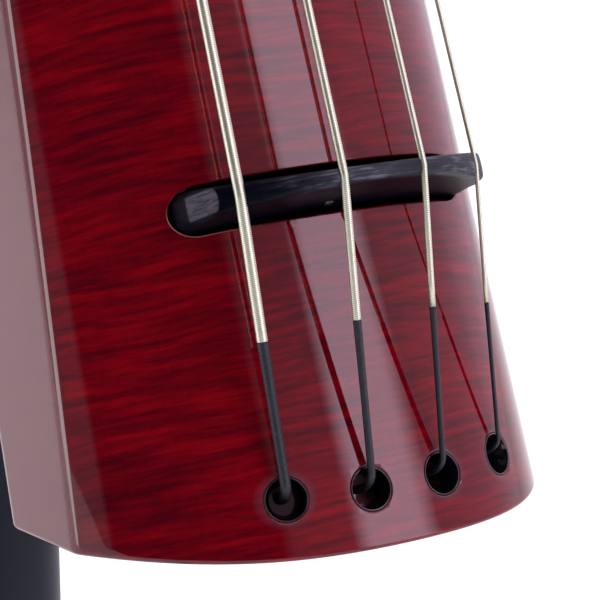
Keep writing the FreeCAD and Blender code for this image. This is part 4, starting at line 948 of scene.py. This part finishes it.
def look_along(item, place, target):
    item.location = place
    item.rotation_euler = (Vector(target) - Vector(place)).to_track_quat("-Z", "Y").to_euler()


def camera():
    """A long lens close to the tail of the body, from the upper left of the player's view."""
    lens = bpy.data.cameras.new("camera")
    lens.lens, lens.sensor_width = LENS, SENSOR
    lens.clip_start = 0.02
    item = bpy.data.objects.new("camera", lens)
    bpy.context.scene.collection.objects.link(item)
    target = TO_ROW @ Vector(VIEW_TARGET)
    look_along(item, target + Vector(VIEW_WAY) * VIEW_DISTANCE, target)
    bpy.context.scene.camera = item


def lamp(name, place, target, width, height, power, mirrored=False):
    """A soft area light, hidden from the camera and, unless it is mirrored, from the gloss."""
    light = bpy.data.lights.new(name, "AREA")
    light.shape = "RECTANGLE"
    light.size, light.size_y = width, height
    light.energy = power
    item = bpy.data.objects.new(name, light)
    bpy.context.scene.collection.objects.link(item)
    look_along(item, place, target)
    item.visible_glossy = mirrored
    item.visible_camera = False


def lights():
    """Diffuse light from the table, and the strip that the body's left edge mirrors."""
    for name, target, way, distance, width, height, power in LAMPS:
        place = Vector(target) + Vector(way).normalized() * distance
        lamp(name, place, target, width, height, power)
    lamp("edge_strip", STRIP_PLACE, STRIP_PLACE + Vector((1, 0, 0)), STRIP_WIDTH, STRIP_HEIGHT,
         STRIP_POWER, mirrored=True)


def studio_world():
    """Softboxes round the instrument as smooth bands; plain white where seen directly."""
    world = bpy.data.worlds.new("studio")
    world.use_nodes = True
    tree = world.node_tree
    way = node(tree, "TexCoord").outputs["Generated"]
    parts = node(tree, "SeparateXYZ", {"Vector": way})
    front = maths(tree, "MULTIPLY", parts.outputs["Y"], -1.0)
    angle = maths(tree, "ARCTAN2", parts.outputs["X"], front)
    stops = [(0.5 + degrees / 360, (radiance / STUDIO_PEAK,) * 3)
             for degrees, radiance in STUDIO_BANDS]
    bands = ramp(tree, scaled(tree, angle, 0.5 / math.pi, 0.5), *stops)
    seen = mixed(tree, between(tree, parts.outputs["Z"], 0.80, 0.95), bands, STUDIO_CEILING)
    ray = node(tree, "LightPath")
    tinted = mixed(tree, 1.0, seen, GLOSS_TINT, "MULTIPLY")
    colour = mixed(tree, ray.outputs["Is Glossy Ray"], seen, tinted)
    glow = node(tree, "Background", {"Color": colour, "Strength": STUDIO_PEAK})
    plain = node(tree, "Background", {"Color": (1, 1, 1, 1), "Strength": 1.0})
    mix = node(tree, "MixShader", {0: ray.outputs["Is Camera Ray"], 1: glow.outputs[0],
                                   2: plain.outputs[0]})
    tree.links.new(mix.outputs[0], tree.nodes["World Output"].inputs["Surface"])
    bpy.context.scene.world = world


def stage():
    """A pale floor that runs up into a pale wall far behind."""
    depth, rise, radius, half, steps = 6.0, 5.0, 1.5, 7.0, 16
    profile = [(-depth, 0.0), (depth - radius, 0.0)]
    for i in range(1, steps + 1):
        turn = math.pi / 2 * i / steps
        profile.append((depth - radius + radius * math.sin(turn), radius - radius * math.cos(turn)))
    profile.append((depth, rise))
    points = [(x, y, z) for y, z in profile for x in (-half, half)]
    faces = [(2 * i, 2 * i + 1, 2 * i + 3, 2 * i + 2) for i in range(len(profile) - 1)]
    floor = mesh_object("floor", points, faces, Matrix.Identity(4))
    material, tree, shader = new_material("paper")
    fibre = stretched(tree, node(tree, "TexCoord").outputs["Object"], (3, 3, 3), Detail=3.0)
    shade = ramp(tree, fibre, (0.3, (0.88, 0.845, 0.91)), (0.7, (0.90, 0.865, 0.93)))
    tree.links.new(shade, shader.inputs["Base Color"])
    shader.inputs["Roughness"].default_value = 0.8
    floor.data.materials.append(material)


bpy.context.scene.view_settings.view_transform = "Standard"
camera()
lights()
studio_world()
stage()
dress_cad()
body_wood()
for number in range(4):
    wound_string(number)
silk_wraps()
collars()
bridge()
pickup_tab()
